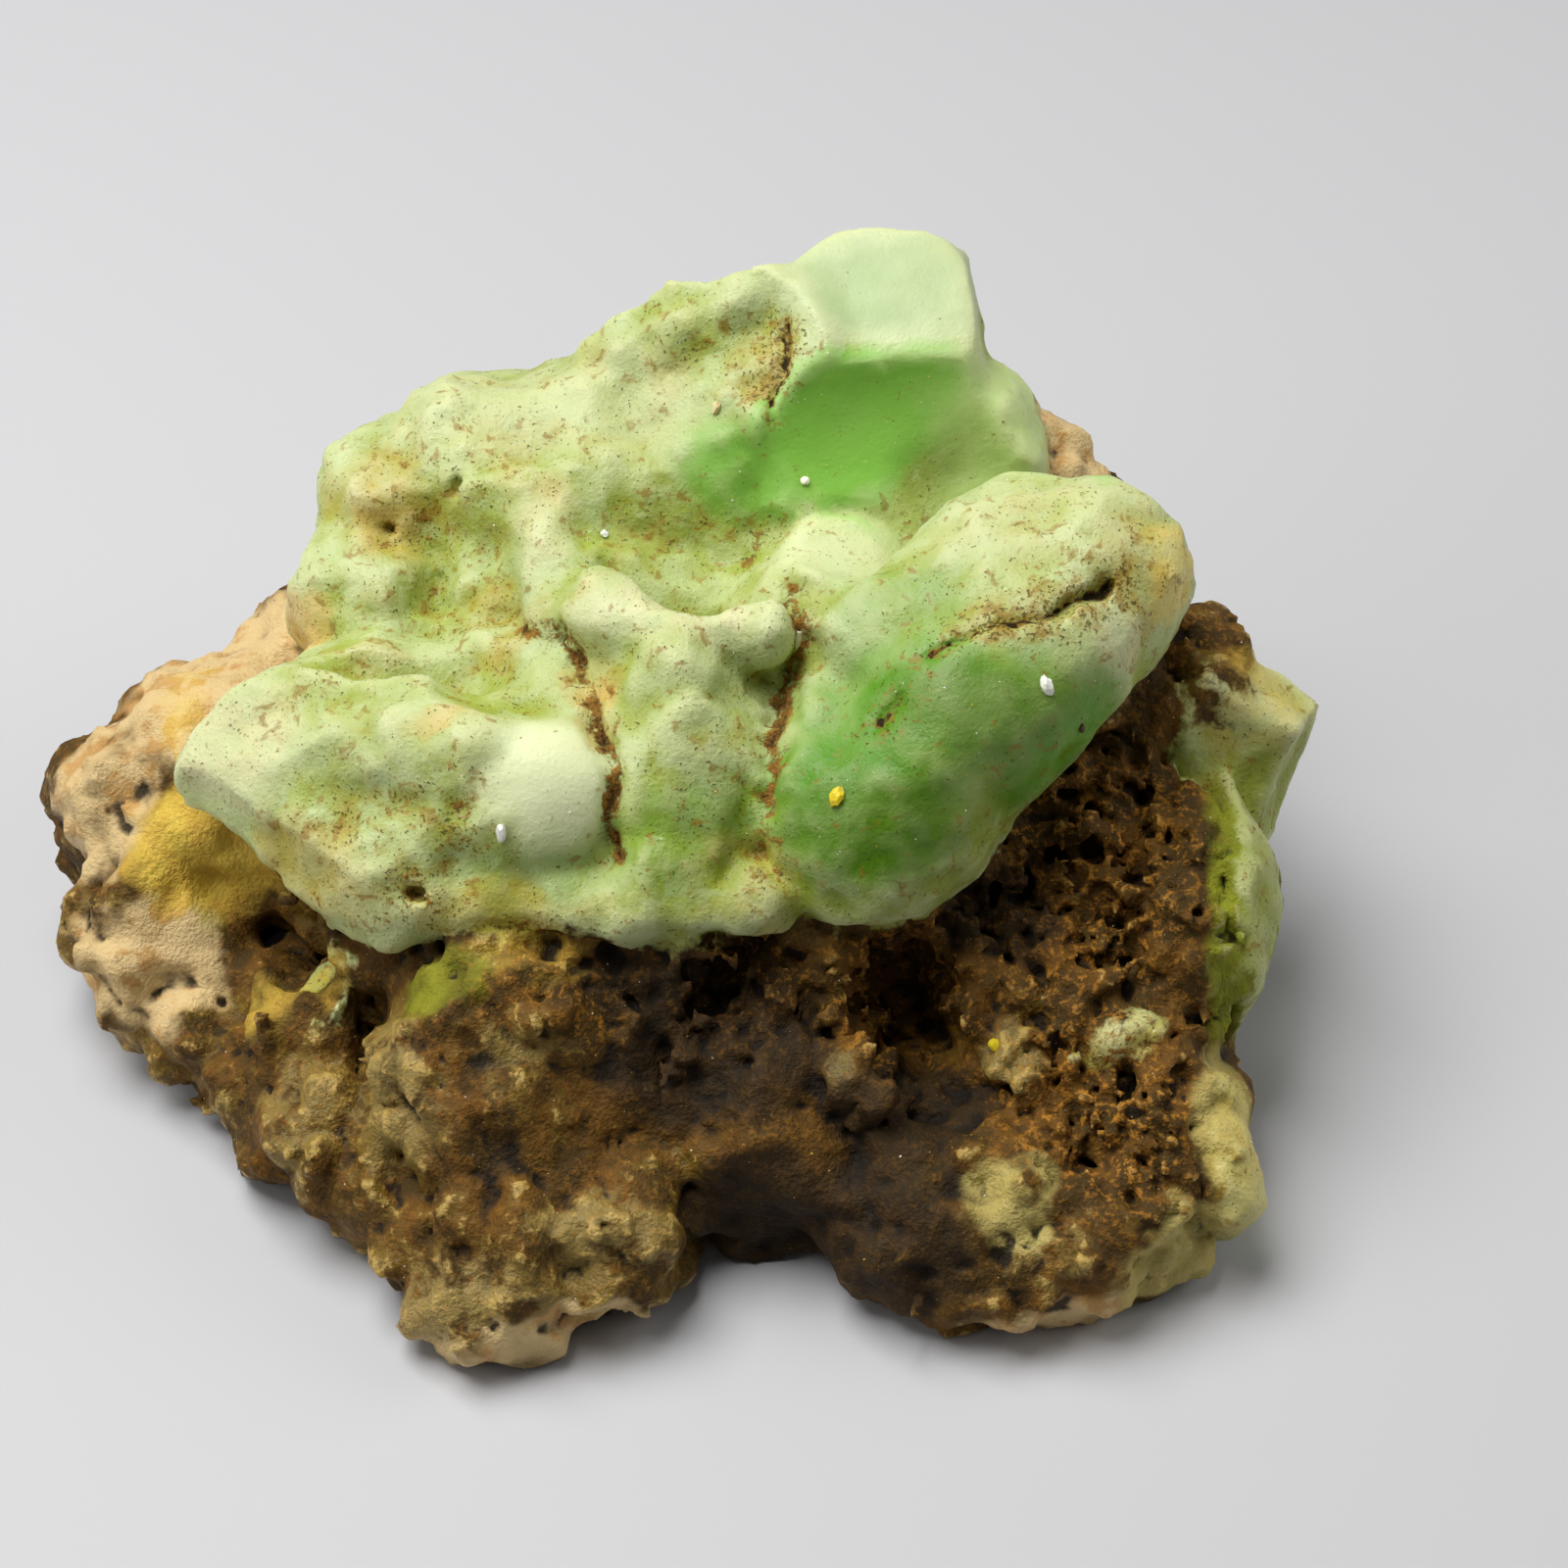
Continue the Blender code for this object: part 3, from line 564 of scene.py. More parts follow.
# colour places: centre, half sizes, strength
paintPlaces = {
    "fresh": [  # saturated leaf green
        ((3.2, 7.4, 20.6), (3.0, 2.6, 2.6), 0.7),
        ((7.4, -5.0, 18.6), (3.8, 4.0, 3.6), 0.7),
        ((8.4, -1.6, 20.4), (3.8, 3.2, 2.4), 0.4),
        ((10.2, -5.4, 19.4), (5.8, 3.2, 2.8), 1.0),
        ((7.2, -7.6, 16.4), (4.8, 4.0, 4.0), 1.0),
        ((13.4, -4.8, 17.6), (4.6, 3.6, 3.6), 0.9),
        ((0.8, -7.6, 14.4), (3.6, 2.8, 3.2), 0.5),
        ((-5.0, -8.6, 13.6), (3.4, 1.8, 1.8), 0.3),
    ],
    "cream": [
        ((13.4, 1.6, 23.2), (6.4, 3.2, 2.6), 0.45),
        ((0.2, -0.3, 19.6), (5.4, 1.7, 1.4), 0.9),
        ((-16.8, -2.8, 14.4), (4.2, 2.8, 2.4), 0.9),
        ((-5.4, 4.0, 19.8), (1.3, 4.0, 1.6), 0.6),
        ((6.4, 3.8, 19.4), (3.8, 2.8, 1.8), 0.5),
        ((-8.0, 10.6, 20.4), (6.4, 3.6, 2.2), 0.5),
        ((-2.2, 10.4, 21.6), (3.4, 3.6, 2.4), 0.5),
        ((16.8, -2.6, 20.0), (1.4, 1.6, 1.8), 0.6),
        ((22.6, 1.2, 14.8), (3.6, 3.2, 1.6), 0.6),
    ],
    "mint": [
        ((-4.9, -6.4, 17.0), (3.2, 2.6, 2.8), 1.0),
        ((8.4, 12.0, 25.6), (5.2, 4.2, 1.6), 1.0),
        ((6.6, -3.6, 19.4), (1.8, 3.6, 3.0), 0.4),
        ((6.4, 3.8, 19.4), (3.6, 2.8, 1.8), 0.4),
    ],
    "fade": [  # pale mint where the scoop runs out
        ((13.6, 8.6, 20.6), (4.2, 4.6, 5.0), 1.0),
        ((8.0, 5.6, 19.2), (4.0, 1.4, 1.6), 0.4),
    ],
    "peach": [
        ((-9.4, -4.8, 18.2), (2.8, 1.4, 1.4), 0.55),
        ((-3.6, 0.8, 19.8), (1.4, 1.2, 1.0), 0.45),
        ((-15.4, 4.2, 14.6), (2.4, 2.6, 2.6), 0.9),
        ((-3.2, -3.6, 17.4), (1.2, 2.4, 1.6), 0.6),
        ((-11.8, 7.4, 18.6), (2.4, 2.2, 2.0), 0.6),
    ],
    "olive": [
        ((17.4, -1.0, 21.0), (1.6, 2.0, 2.8), 0.8),
        ((-11.0, -7.2, 14.4), (5.0, 3.0, 2.8), 0.9),
        ((0.6, 5.6, 18.8), (4.4, 2.8, 2.8), 0.2),
        ((3.0, 9.8, 23.4), (2.2, 3.4, 2.6), 0.7),
        ((12.4, -2.8, 21.8), (5.4, 1.6, 1.6), 0.9),
        ((-9.8, 8.0, 19.6), (2.8, 2.8, 2.6), 0.2),
        ((-8.6, 1.6, 17.2), (4.6, 3.2, 2.2), 0.5),
        ((-13.4, -9.4, 12.2), (4.4, 2.6, 2.6), 0.8),
        ((1.6, -5.4, 17.0), (2.0, 3.4, 3.0), 0.5),
        ((14.4, -5.6, 16.4), (3.6, 2.4, 3.0), 0.5),
    ],
    "dirt": [
        ((-13.0, -1.4, 16.4), (2.0, 1.1, 1.4), 1.0),
        ((-9.7, -9.0, 13.2), (1.3, 1.3, 1.4), 0.9),
        ((-11.6, 6.8, 17.9), (2.4, 1.0, 1.6), 0.45),
        ((22.2, -4.0, 8.6), (2.0, 5.0, 4.6), 0.6),
        ((-9.4, 7.6, 19.6), (1.6, 1.2, 1.6), 0.4),
        ((-8.0, -7.6, 15.4), (1.3, 1.0, 1.2), 0.7),
        ((-3.4, -2.0, 17.6), (1.2, 1.6, 1.6), 0.7),
        ((4.7, -0.4, 18.8), (0.8, 1.3, 1.3), 1.0),
        ((3.4, -8.4, 14.4), (1.1, 1.6, 2.6), 0.8),
        ((2.6, 4.6, 17.4), (1.0, 1.6, 1.6), 0.7),
        ((-4.6, -9.8, 12.4), (2.2, 1.2, 1.4), 0.8),
        ((16.9, -12.2, 8.2), (2.4, 1.6, 1.6), 0.9),
        ((12.6, -17.2, 4.6), (2.6, 2.2, 2.6), 0.6),
    ],
    "tan": [
        ((15.0, 9.8, 19.0), (3.4, 4.2, 3.6), 0.9),
        ((-18.6, 4.6, 11.4), (7.0, 6.0, 3.4), 1.0),
        ((-23.4, -0.4, 8.8), (3.4, 4.0, 3.6), 0.8),
        ((-22.6, -5.0, 4.6), (3.0, 3.0, 4.0), 0.7),
        ((-21.2, -5.8, 5.6), (3.4, 3.6, 3.4), 0.9),
        ((-5.0, -20.6, 1.6), (5.6, 3.0, 1.8), 0.8),
        ((15.6, -20.0, 1.4), (4.8, 3.0, 1.8), 0.8),
    ],
    # ochre stains; on the left face (first row) and the lobe's right end (fifth row) they are painted
    # brighter, as painted light on faces that lie in shade
    "yellow": [
        ((-19.0, -2.8, 9.0), (3.8, 3.0, 3.8), 1.0),
        ((-20.2, 3.0, 12.2), (1.6, 5.0, 1.6), 0.5),
        ((-13.6, -8.4, 7.4), (1.2, 1.6, 1.8), 0.6),
        ((22.8, 0.8, 14.6), (3.8, 3.2, 1.8), 0.55),
        ((18.8, 0.6, 20.8), (1.5, 2.6, 3.0), 0.9),
        ((21.4, -15.0, 5.0), (2.0, 3.6, 3.0), 0.7),
        ((-16.4, -8.6, 6.4), (2.8, 2.2, 2.0), 0.6),
        ((-6.0, -10.6, 11.2), (5.0, 1.8, 1.6), 0.45),
    ],
    "amber": [  # yellow-tan stains along edges and folds
        ((-14.8, -7.6, 12.8), (5.4, 3.6, 2.6), 1.0),
        ((-8.8, 1.6, 17.6), (5.4, 2.8, 2.2), 0.7),
        ((-6.4, -9.4, 12.6), (5.0, 2.2, 1.8), 0.8),
        ((-11.8, 7.6, 18.6), (3.2, 3.2, 2.6), 0.8),
        ((-6.0, 6.6, 19.6), (2.2, 2.4, 2.0), 0.4),
        ((-3.4, -1.6, 17.8), (1.6, 2.6, 1.8), 0.8),
        ((2.4, -8.8, 13.6), (3.4, 2.2, 2.2), 0.7),
        ((17.6, 0.4, 20.6), (2.2, 3.6, 3.6), 0.7),
        ((3.6, 9.0, 23.2), (1.6, 3.0, 2.4), 0.6),
        ((21.8, -4.4, 9.6), (2.6, 6.0, 4.4), 0.6),
        ((22.8, 0.8, 14.0), (3.6, 3.4, 2.8), 0.9),
        ((16.9, -12.3, 8.4), (2.6, 1.6, 1.6), 1.0),
    ],
    "vivid": [  # the scoop's green runs on to its left
        ((2.8, 7.2, 20.6), (3.0, 2.2, 2.2), 1.0),
    ],
    # painted shade: the top facet is painted darker than the mint around it, to tone down the light that
    # falls on it
    "facet": [
        ((9.0, 12.4, 25.6), (5.8, 5.0, 1.4), 1.0),
    ],
    "rind": [  # pale mineral along the right foot's edge
        ((18.8, -17.6, 2.4), (5.0, 3.4, 3.0), 1.0),
        ((12.6, -17.2, 4.6), (2.6, 2.2, 2.6), 0.9),
        ((20.8, -13.6, 4.6), (2.2, 4.4, 4.0), 0.8),
    ],
    "lime": [  # green stains on rock and greener glassy rock
        ((-18.4, -5.0, 7.4), (2.4, 1.8, 2.2), 0.5),
        ((-8.6, -11.0, 10.4), (3.6, 2.2, 2.2), 0.7),
        ((24.4, -0.8, 10.8), (3.4, 3.2, 2.8), 1.0),
        ((21.8, -6.0, 9.0), (2.6, 7.0, 6.4), 1.0),
    ],
    "gloom": [  # dark brown rock, and painted shade in the recesses, under the lobes and low on the front
        ((1.6, -12.4, 7.6), (5.4, 3.4, 3.6), 1.0),
        ((8.6, -13.6, 6.0), (4.4, 3.0, 3.4), 0.9),
        ((3.4, -16.0, 3.0), (4.2, 3.6, 4.0), 1.0),
        ((-7.4, -15.6, 6.0), (3.0, 2.4, 2.4), 0.6),
        ((-16.0, -7.4, 8.0), (3.4, 2.4, 2.4), 1.0),
        ((12.6, -7.6, 9.8), (3.2, 2.6, 3.2), 0.9),
        ((0.6, -11.0, 9.0), (4.4, 3.0, 3.0), 1.0),
        ((8.8, -16.6, 3.2), (4.8, 5.0, 4.0), 1.0),
        ((-2.0, -10.6, 9.8), (3.4, 1.8, 1.8), 0.8),
    ],
    "ashen": [  # cream-grey glassy lumps
        ((-10.4, -13.4, 7.4), (2.6, 3.4, 3.4), 0.8),
        ((-5.6, -12.6, 9.2), (2.4, 1.6, 1.6), 0.7),
        ((-3.0, -18.6, 4.6), (2.8, 2.0, 2.6), 0.7),
        ((-7.6, -20.6, 2.6), (4.0, 2.4, 2.6), 0.8),
        ((6.6, -13.2, 7.6), (2.0, 1.4, 1.4), 0.9),
        ((12.7, -12.8, 7.6), (2.0, 1.6, 1.8), 0.8),
        ((12.4, -18.0, 4.0), (4.4, 2.6, 2.6), 0.6),
        ((-14.4, -13.0, 4.4), (2.6, 2.6, 2.6), 0.5),
    ],
    "shade": [  # painted shade: a darker leaf green low on the lobes, where they turn down and away from the light
        ((8.6, -8.6, 15.0), (6.8, 3.6, 4.0), 1.0),
        ((11.4, -5.6, 19.4), (4.4, 2.6, 2.2), 1.0),
        ((1.0, -8.6, 13.4), (3.6, 2.4, 2.8), 0.9),
    ],
    "spongy": spongyPlaces,
}


def groupTree(name, inputs):
    # a geometry tree with named inputs, and the wire of each
    tree = bpy.data.node_groups.new(name, "GeometryNodeTree")
    tree.interface.new_socket("Geometry", in_out="INPUT", socket_type="NodeSocketGeometry")
    tree.interface.new_socket("Geometry", in_out="OUTPUT", socket_type="NodeSocketGeometry")
    entry = tree.nodes.new("NodeGroupInput")
    for key, value in inputs.items():
        tree.interface.new_socket(key, in_out="INPUT", socket_type="NodeSocketFloat").default_value = value
    return tree, {key: Wire(tree, entry.outputs[key]) for key in ["Geometry", *inputs]}


def finishTree(tree, geometry, material):
    real = geometry.node("GeometryNodeRealizeInstances", {}, {0: geometry})
    painted = real.node("GeometryNodeSetMaterial", {}, {"Geometry": real, "Material": material})
    out = tree.nodes.new("NodeGroupOutput")
    tree.links.new(painted.socket, out.inputs["Geometry"])


def addTree(piece, tree, values):
    modifier = piece.modifiers.new(tree.name, "NODES")
    modifier.node_group = tree
    for item in tree.interface.items_tree:
        if item.in_out == "INPUT" and item.name in values:
            modifier[item.identifier] = values[item.name]


def position(tree):
    return source(tree, "GeometryNodeInputPosition", "Position")


def growTree(material):
    tree, sizes = groupTree("growStone", stoneSizes)
    point = position(tree)
    density = stoneDistance(point, sizes) * (-densityFall / sizes["Cell"]) + surfaceDensity
    inputs = {"Density": density.clamped(), "Min": latticeLow, "Max": latticeHigh}
    for axis, low, high in zip("XYZ", latticeLow, latticeHigh):
        inputs["Resolution " + axis] = (high - low) / sizes["Cell"]
    volume = point.node("GeometryNodeVolumeCube", {}, inputs)
    skin = volume.node("GeometryNodeVolumeToMesh", {}, {"Volume": volume, "Threshold": surfaceDensity})

    # bubbles that don't reach the surface are small islands, and go
    island = point.node("GeometryNodeInputMeshIsland", {}, {}, "Island Index")
    settings = {"data_type": "INT", "domain": "POINT"}
    count = point.node("GeometryNodeAccumulateField", settings, {"Value": 1, "Group ID": island}, "Total")
    settings = {"data_type": "INT", "operation": "LESS_THAN"}
    small = point.node("FunctionNodeCompare", settings, {2: count, 3: smallestIsland})
    inputs = {"Geometry": skin, "Selection": small}
    whole = skin.node("GeometryNodeDeleteGeometry", {"domain": "POINT"}, inputs)
    inputs = {
        "Geometry": whole,
        "Translation": tuple(value * mm for value in standingShift),
        "Scale": (mm, mm, mm),
    }
    finishTree(tree, whole.node("GeometryNodeTransform", {}, inputs), material)
    return tree


def creaseOf(tree, rounds):  # mm below the surface around, blurred by that many rounds
    here = position(tree)
    inputs = {"Value": here, "Iterations": rounds}
    around = here.node("GeometryNodeBlurAttribute", {"data_type": "FLOAT_VECTOR"}, inputs, "Value")
    outward = source(tree, "GeometryNodeInputNormal", "Normal")
    return around.vector("SUBTRACT", here).measure("DOT_PRODUCT", outward) / mm


def maskTree(material):
    # stores what the finish reads: which mineral, how deep below the plain skin, and each colour place
    tree, named = groupTree("stoneMasks", {})
    place = position(tree).scaled(1 / mm).vector("SUBTRACT", standingShift)
    rock, green = minerals(place)
    masks = {
        "green": rock - green,
        "depth": -joined(rock, green, mineralsBlend),
        "lump": cellAt(wavy(place, raggedWaves), lumpSize),
        "crease": creaseOf(tree, 3),
        "dip": creaseOf(tree, 14),
        "seam": grooves(place, seams, 1.1)[0],
        "crack": grooves(place, cracks)[0],
        "halo": grooves(place, cracks, 5.0)[0],
    }
    calm = wavy(place, calmWaves)
    centre, halfSizes = next(row[1:3] for row in greenHollows if row[0] == "scoop")
    onScoop = ellipsoid(calm, centre, halfSizes).math("ABSOLUTE").step(0.5, 0.25)
    front = calm.measure("DOT_PRODUCT", (0.22, 1.0, 0.0)) + (noiseAt(place, 1.2) - 0.5) * 1.2
    masks["scoop"] = onScoop * front.step(6.6, 7.4)  # only the scoop's rear part
    torn = wavy(place, placeWaves)
    for key, places in paintPlaces.items():
        masks[key] = placeMask(torn, places)
    geometry = named["Geometry"]
    for key, share in masks.items():
        inputs = {"Geometry": geometry, "Name": key, "Value": share}
        geometry = geometry.node("GeometryNodeStoreNamedAttribute", {}, inputs)
    finishTree(tree, geometry, material)
    return tree


def baked(piece):
    # makes the evaluated piece a plain mesh, with its modifiers gone
    evaluated = piece.evaluated_get(bpy.context.evaluated_depsgraph_get())
    mesh = bpy.data.meshes.new_from_object(evaluated)
    piece.modifiers.clear()
    piece.data = mesh
    return mesh


def newPiece(name):
    piece = bpy.data.objects.new(name, bpy.data.meshes.new(name))
    bpy.context.scene.collection.objects.link(piece)
    return piece


# the stone's finish

def newFinish(name):
    finish = bpy.data.materials.new(name)
    finish.use_nodes = True
    finish.node_tree.nodes.clear()
    return finish, finish.node_tree


def show(tree, shader):  # the last step of a finish
    out = tree.nodes.new("ShaderNodeOutputMaterial")
    tree.links.new(shader.socket, out.inputs["Surface"])


def mask(tree, name):  # what maskTree or gritTree stored
    reader = tree.nodes.new("ShaderNodeAttribute")
    reader.attribute_name = name
    return Wire(tree, reader.outputs["Fac"])


def bumped(height, strength, reach):  # reach in mm
    inputs = {"Height": height, "Strength": strength, "Distance": reach * mm}
    return height.node("ShaderNodeBump", {}, inputs, "Normal")


stoneColours = {  # as seen on a screen
    "pale": paint(180, 193, 128),
    "mint": paint(224, 230, 184),
    "sage": paint(154, 166, 60),
    "scoop": paint(132, 188, 74),
    "scoopEdge": paint(188, 210, 132),
    "leaf": paint(80, 142, 6),
    "deepLeaf": paint(82, 122, 10),
    "cream": paint(214, 210, 162),
    "peach": paint(216, 178, 104),
    "oliveStain": paint(156, 140, 34),
    "ochreSpeck": paint(142, 106, 24),
    "pepper": paint(78, 68, 14),
    "soil": paint(78, 54, 16),
    "soilLight": paint(150, 108, 40),
    "gap": paint(40, 30, 8),
    # painted glints
    "sparkle": paint(246, 246, 226),
    # painted shade in the rock's hollows and pores
    "rockDark": paint(22, 14, 3),
    "rockGloom": paint(40, 28, 7),
    "rockMid": paint(70, 50, 10),
    "rockRust": paint(104, 70, 16),
    "rockGlassy": paint(112, 88, 26),
    "rockCream": paint(188, 158, 86),
    "ashen": paint(156, 136, 78),
    "tan": paint(216, 188, 134),
    "tanStreak": paint(178, 120, 36),
    # partly painted light: brighter than the ochre stain itself, for shaded faces
    "ochre": paint(226, 194, 78),
    "lime": paint(138, 146, 30),
    "cloud": paint(190, 204, 150),
    "amber": paint(186, 158, 62),
    # painted highlight on the broad crests
    "crest": paint(214, 218, 172),
    # painted shade in the broad dips
    "deep": paint(128, 140, 44),
    # painted shade for the top facet
    "facet": paint(172, 190, 138),
    "rind": paint(186, 170, 98),
}


def surfaceOf(tree):
    # what the colours, the gloss and the grain read: stored masks, noise around 0, and sums of the two
    names = ["green", "depth", "lump", "crease", "dip", "seam", "crack", "halo", "scoop", *paintPlaces]
    here = SimpleNamespace(**{key: mask(tree, key) for key in names})
    here.place = source(tree, "ShaderNodeTexCoord", "Object").scaled(1 / mm)
    here.bent = wavy(here.place, patchWaves)  # for patches with torn edges
    here.broad = noiseAt(here.bent, 4.5, 2.0) - 0.5
    here.patch = noiseAt(here.bent, 2.2, 2.0) - 0.5
    here.clump = noiseAt(here.bent, 1.1, 3.0, roughness=0.7) - 0.5
    here.middle = noiseAt(here.place, 1.2, 3.0, roughness=0.6) - 0.5
    here.fine = noiseAt(here.place, 0.4, 3.0, roughness=0.65) - 0.5
    here.grit = noiseAt(here.place, 0.16, 2.0, roughness=0.6) - 0.5
    here.worn = (here.crease * -6.0).clamped()  # ridges, 0 to 1, which go cream: partly wear, partly painted highlight
    here.hollow = (here.crease * 5.0 + here.dip).clamped()
    here.yellowed = (here.yellow + here.patch * 0.9 + here.middle * 0.6).step(0.25, 0.95)

    # the green mineral's clean breaks, specks and soil
    here.leaf = (here.fresh * (here.broad * 0.6 + 1.03) - here.cream * 0.3).clamped()
    here.bright = here.scoop.math("MAXIMUM", here.vivid * 0.9)
    here.faded = (here.fade + here.broad * 0.5).clamped()
    breaks = [here.mint * 0.8, here.leaf * 0.35, here.bright, here.faded, here.facet]
    here.clean = together("MAXIMUM", breaks)
    busy = here.olive * 0.45 + here.dirt * 0.5 + here.halo * 0.9 + here.hollow * 0.4 + here.seam * 0.4
    here.busy = busy + here.clump * 2.6 + here.broad - here.clean * 0.8 - here.facet * 0.8
    here.speck = (here.grit + here.busy * 0.1).step(0.14, 0.2)
    soil = together("MAXIMUM", [here.seam, here.crack, here.dirt * 0.75])
    here.soil = (soil * 0.9 + here.fine * 1.6 + here.clump * 2.2 + here.hollow * 0.4).step(0.62, 1.05)
    # painted glints, some standing for tiny white crystals: near-white specks, a few more on ridges
    here.spark = (noiseAt(here.place, 0.13) + here.worn * 0.05).step(0.80, 0.83)

    # the rock's dim parts (dark brown rock and painted shade), and its glassy and raised parts
    here.dim = (here.gloom + here.patch).step(0.25, 0.9)
    glassy = (0.5 - here.lump) * 0.5 + here.clump * 2.0 + here.broad * 1.6 - here.spongy * 0.4
    here.glassy = (glassy - here.dim * 0.4 + here.ashen * 0.5).step(-0.08, 0.36)
    raised = here.worn * 0.8 + here.fine * 1.6 + here.clump + here.glassy * 0.35 - here.dim * 0.8
    here.raised = raised.step(0.5, 1.0)
    return here


def greenColour(here, colours):
    sage = (here.broad * 0.6 + here.patch * 0.4 + here.dip * 0.1 + here.shade * 0.15).step(-0.12, 0.1)
    green = sage.colour(colours.pale, colours.sage)
    green = (here.cream * 0.9 + here.patch).clamped().colour(green, colours.cream)
    cloud = noiseAt(here.bent, 1.5, 3.0, roughness=0.6).step(0.48, 0.62)
    green = (cloud * 0.45).colour(green, colours.cloud)
    green = (here.mint * 0.95).colour(green, colours.mint)
    # painted shade: the top facet darker than the mint
    green = here.facet.colour(green, colours.facet)
    # painted shade: low on the lobes the leaf green goes darker
    green = here.leaf.colour(green, (here.shade * 0.9).colour(colours.leaf, colours.deepLeaf))
    green = here.bright.colour(green, colours.scoop)
    green = (here.faded * 0.9).colour(green, colours.scoopEdge)

    # stains, painted shade in the broad dips and painted highlight on the broad crests
    stain = here.olive * 0.5 + here.clump * 2.0 + here.patch + here.hollow * 0.3
    stain = stain + here.halo * 0.5 - here.clean * 0.8 - here.leaf * 0.3
    green = (stain.step(0.15, 0.9) * 0.6).colour(green, colours.oliveStain)
    amber = here.amber * 0.9 + here.broad * 0.8 + here.patch + here.hollow * 0.15 - here.clean * 0.6
    green = (amber.step(0.15, 1.0) * 0.6).colour(green, colours.amber)
    peach = (here.peach + here.patch * 0.9).step(0.3, 0.9)
    green = (peach * 0.8).colour(green, colours.peach)
    green = (here.yellowed * 0.75).colour(green, colours.ochre)
    green = ((here.lime + here.patch * 0.6).step(0.25, 0.9) * 0.8).colour(green, colours.lime)
    green = ((here.dip * 2.6).clamped() * 0.36 * (1 - here.clean)).colour(green, colours.deep)
    green = ((here.dip * -2.2).clamped() * 0.5 * (1 - here.leaf * 0.8)).colour(green, colours.crest)
    # painted highlight, partly paler worn rims: cream on the ridges
    green = (here.worn * 0.25).colour(green, colours.cream)
    green = (here.rind * 0.9).colour(green, colours.rind)

    # specks, soil, and the dark of cracks and pores
    ochre = (noiseAt(here.bent, 0.6, 2.0, roughness=0.6) + here.busy * 0.1).step(0.58, 0.72)
    green = (ochre * 0.65).colour(green, colours.ochreSpeck)
    green = (here.speck * 0.8).colour(green, colours.pepper)
    earth = (here.fine * 0.6 + here.grit * 0.4).step(-0.08, 0.1).colour(colours.soil, colours.soilLight)
    green = here.soil.colour(green, earth)
    gap = here.crack.math("MAXIMUM", here.seam * 0.6)
    gap = (gap + here.fine * 0.8 + here.clump * 1.6 + here.hollow * 0.3).step(0.8, 1.15)
    green = gap.colour(green, colours.gap)
    green = here.depth.step(0.9, 1.3).colour(green, colours.soil)
    return here.spark.colour(green, colours.sparkle)


def rockColour(here, colours):
    rusty = (here.patch * 0.6 + here.middle * 0.4).step(-0.08, 0.08)
    rock = rusty.colour(colours.rockMid, colours.rockRust)
    rock = (here.glassy * 0.9).colour(rock, here.ashen.colour(colours.rockGlassy, colours.ashen))
    # painted shade, with dark brown rock: the dim parts go near-black brown
    rock = (here.dim * 0.85).colour(rock, colours.rockGloom)
    crumb = (here.fine * 0.7 + here.grit * 0.3 + here.worn * 0.06).step(0.0, 0.14)
    crumb = crumb * (0.25 + here.spongy * 0.65) * (1 - here.dim * 0.7)
    rock = crumb.colour(rock, colours.tanStreak)
    # raised rock goes cream, and its ridges carry a painted highlight
    rock = (here.raised * 0.8).colour(rock, colours.rockCream)
    tan = (here.tan + here.patch * 1.2 - here.hollow * 0.3).step(0.25, 0.75)
    streaky = (here.middle + here.patch * 0.6).step(0.0, 0.16)
    rock = (tan * 0.9).colour(rock, (streaky * 0.6).colour(colours.tan, colours.tanStreak))
    ochred = (here.middle.step(-0.1, 0.15) * 0.35).colour(colours.ochre, colours.tanStreak)
    rock = (here.yellowed * 0.88).colour(rock, ochred)
    rind = (here.rind + here.patch * 1.4).step(0.3, 0.8)
    rock = (rind * 0.85).colour(rock, colours.rind)
    rock = ((here.lime + here.patch * 0.9).step(0.3, 0.9) * 0.8).colour(rock, colours.lime)
    # painted shade, partly dark patches: the rock goes near-black in hollows, deep pores and dim parts,
    # less where ochre or rind is
    dark = here.hollow * 0.9 + here.depth.step(0.2, 1.0) + here.clump - here.glassy * 0.2 + here.dim * 0.3
    dark = dark - here.yellowed * 0.6 - rind * 0.3
    return (dark.step(0.2, 0.95) * 0.92).colour(rock, colours.rockDark)


def stoneFinish():
    finish, tree = newFinish("stoneFinish")
    here = surfaceOf(tree)
    colours = SimpleNamespace(**stoneColours)
    grain = here.fine * 0.9 + here.grit * 0.6 + here.soil * here.fine * 4
    grain = (grain + here.middle * 1.2) * (1 - here.clean * 0.6)
    dull = 0.42 + here.speck * 0.3 + here.soil * 0.45 + here.middle * 0.4 - here.spark * 0.2
    waxy = grain.node("ShaderNodeBsdfPrincipled", {}, {
        "Base Color": greenColour(here, colours),
        "Roughness": dull.clamped(),
        "Specular IOR Level": 0.3,
        "Normal": bumped(grain, 0.5, 0.15),
        "IOR": 1.45,
        "Subsurface Weight": 0.2,
        "Subsurface Radius": (1.0, 1.0, 0.4),
        "Subsurface Scale": 0.9 * mm,
    })
    coarse = (here.middle * 1.6 + here.fine * 0.7) * (1 - here.tan * 0.7) + here.grit * 0.6
    dull = 0.74 - here.glassy * 0.34 - here.raised * 0.1 + here.grit * 0.3
    earthy = coarse.node("ShaderNodeBsdfPrincipled", {}, {
        "Base Color": rockColour(here, colours),
        "Roughness": dull.clamped(),
        "Normal": bumped(coarse, 0.6, 0.3),
        "Specular IOR Level": 0.25,
    })
    share = (here.green + here.fine + here.patch * 2.4 + here.clump * 1.6).step(-0.3, 0.3)
    show(tree, share.node("ShaderNodeMixShader", {}, {0: share, 1: earthy, 2: waxy}))
    return finish


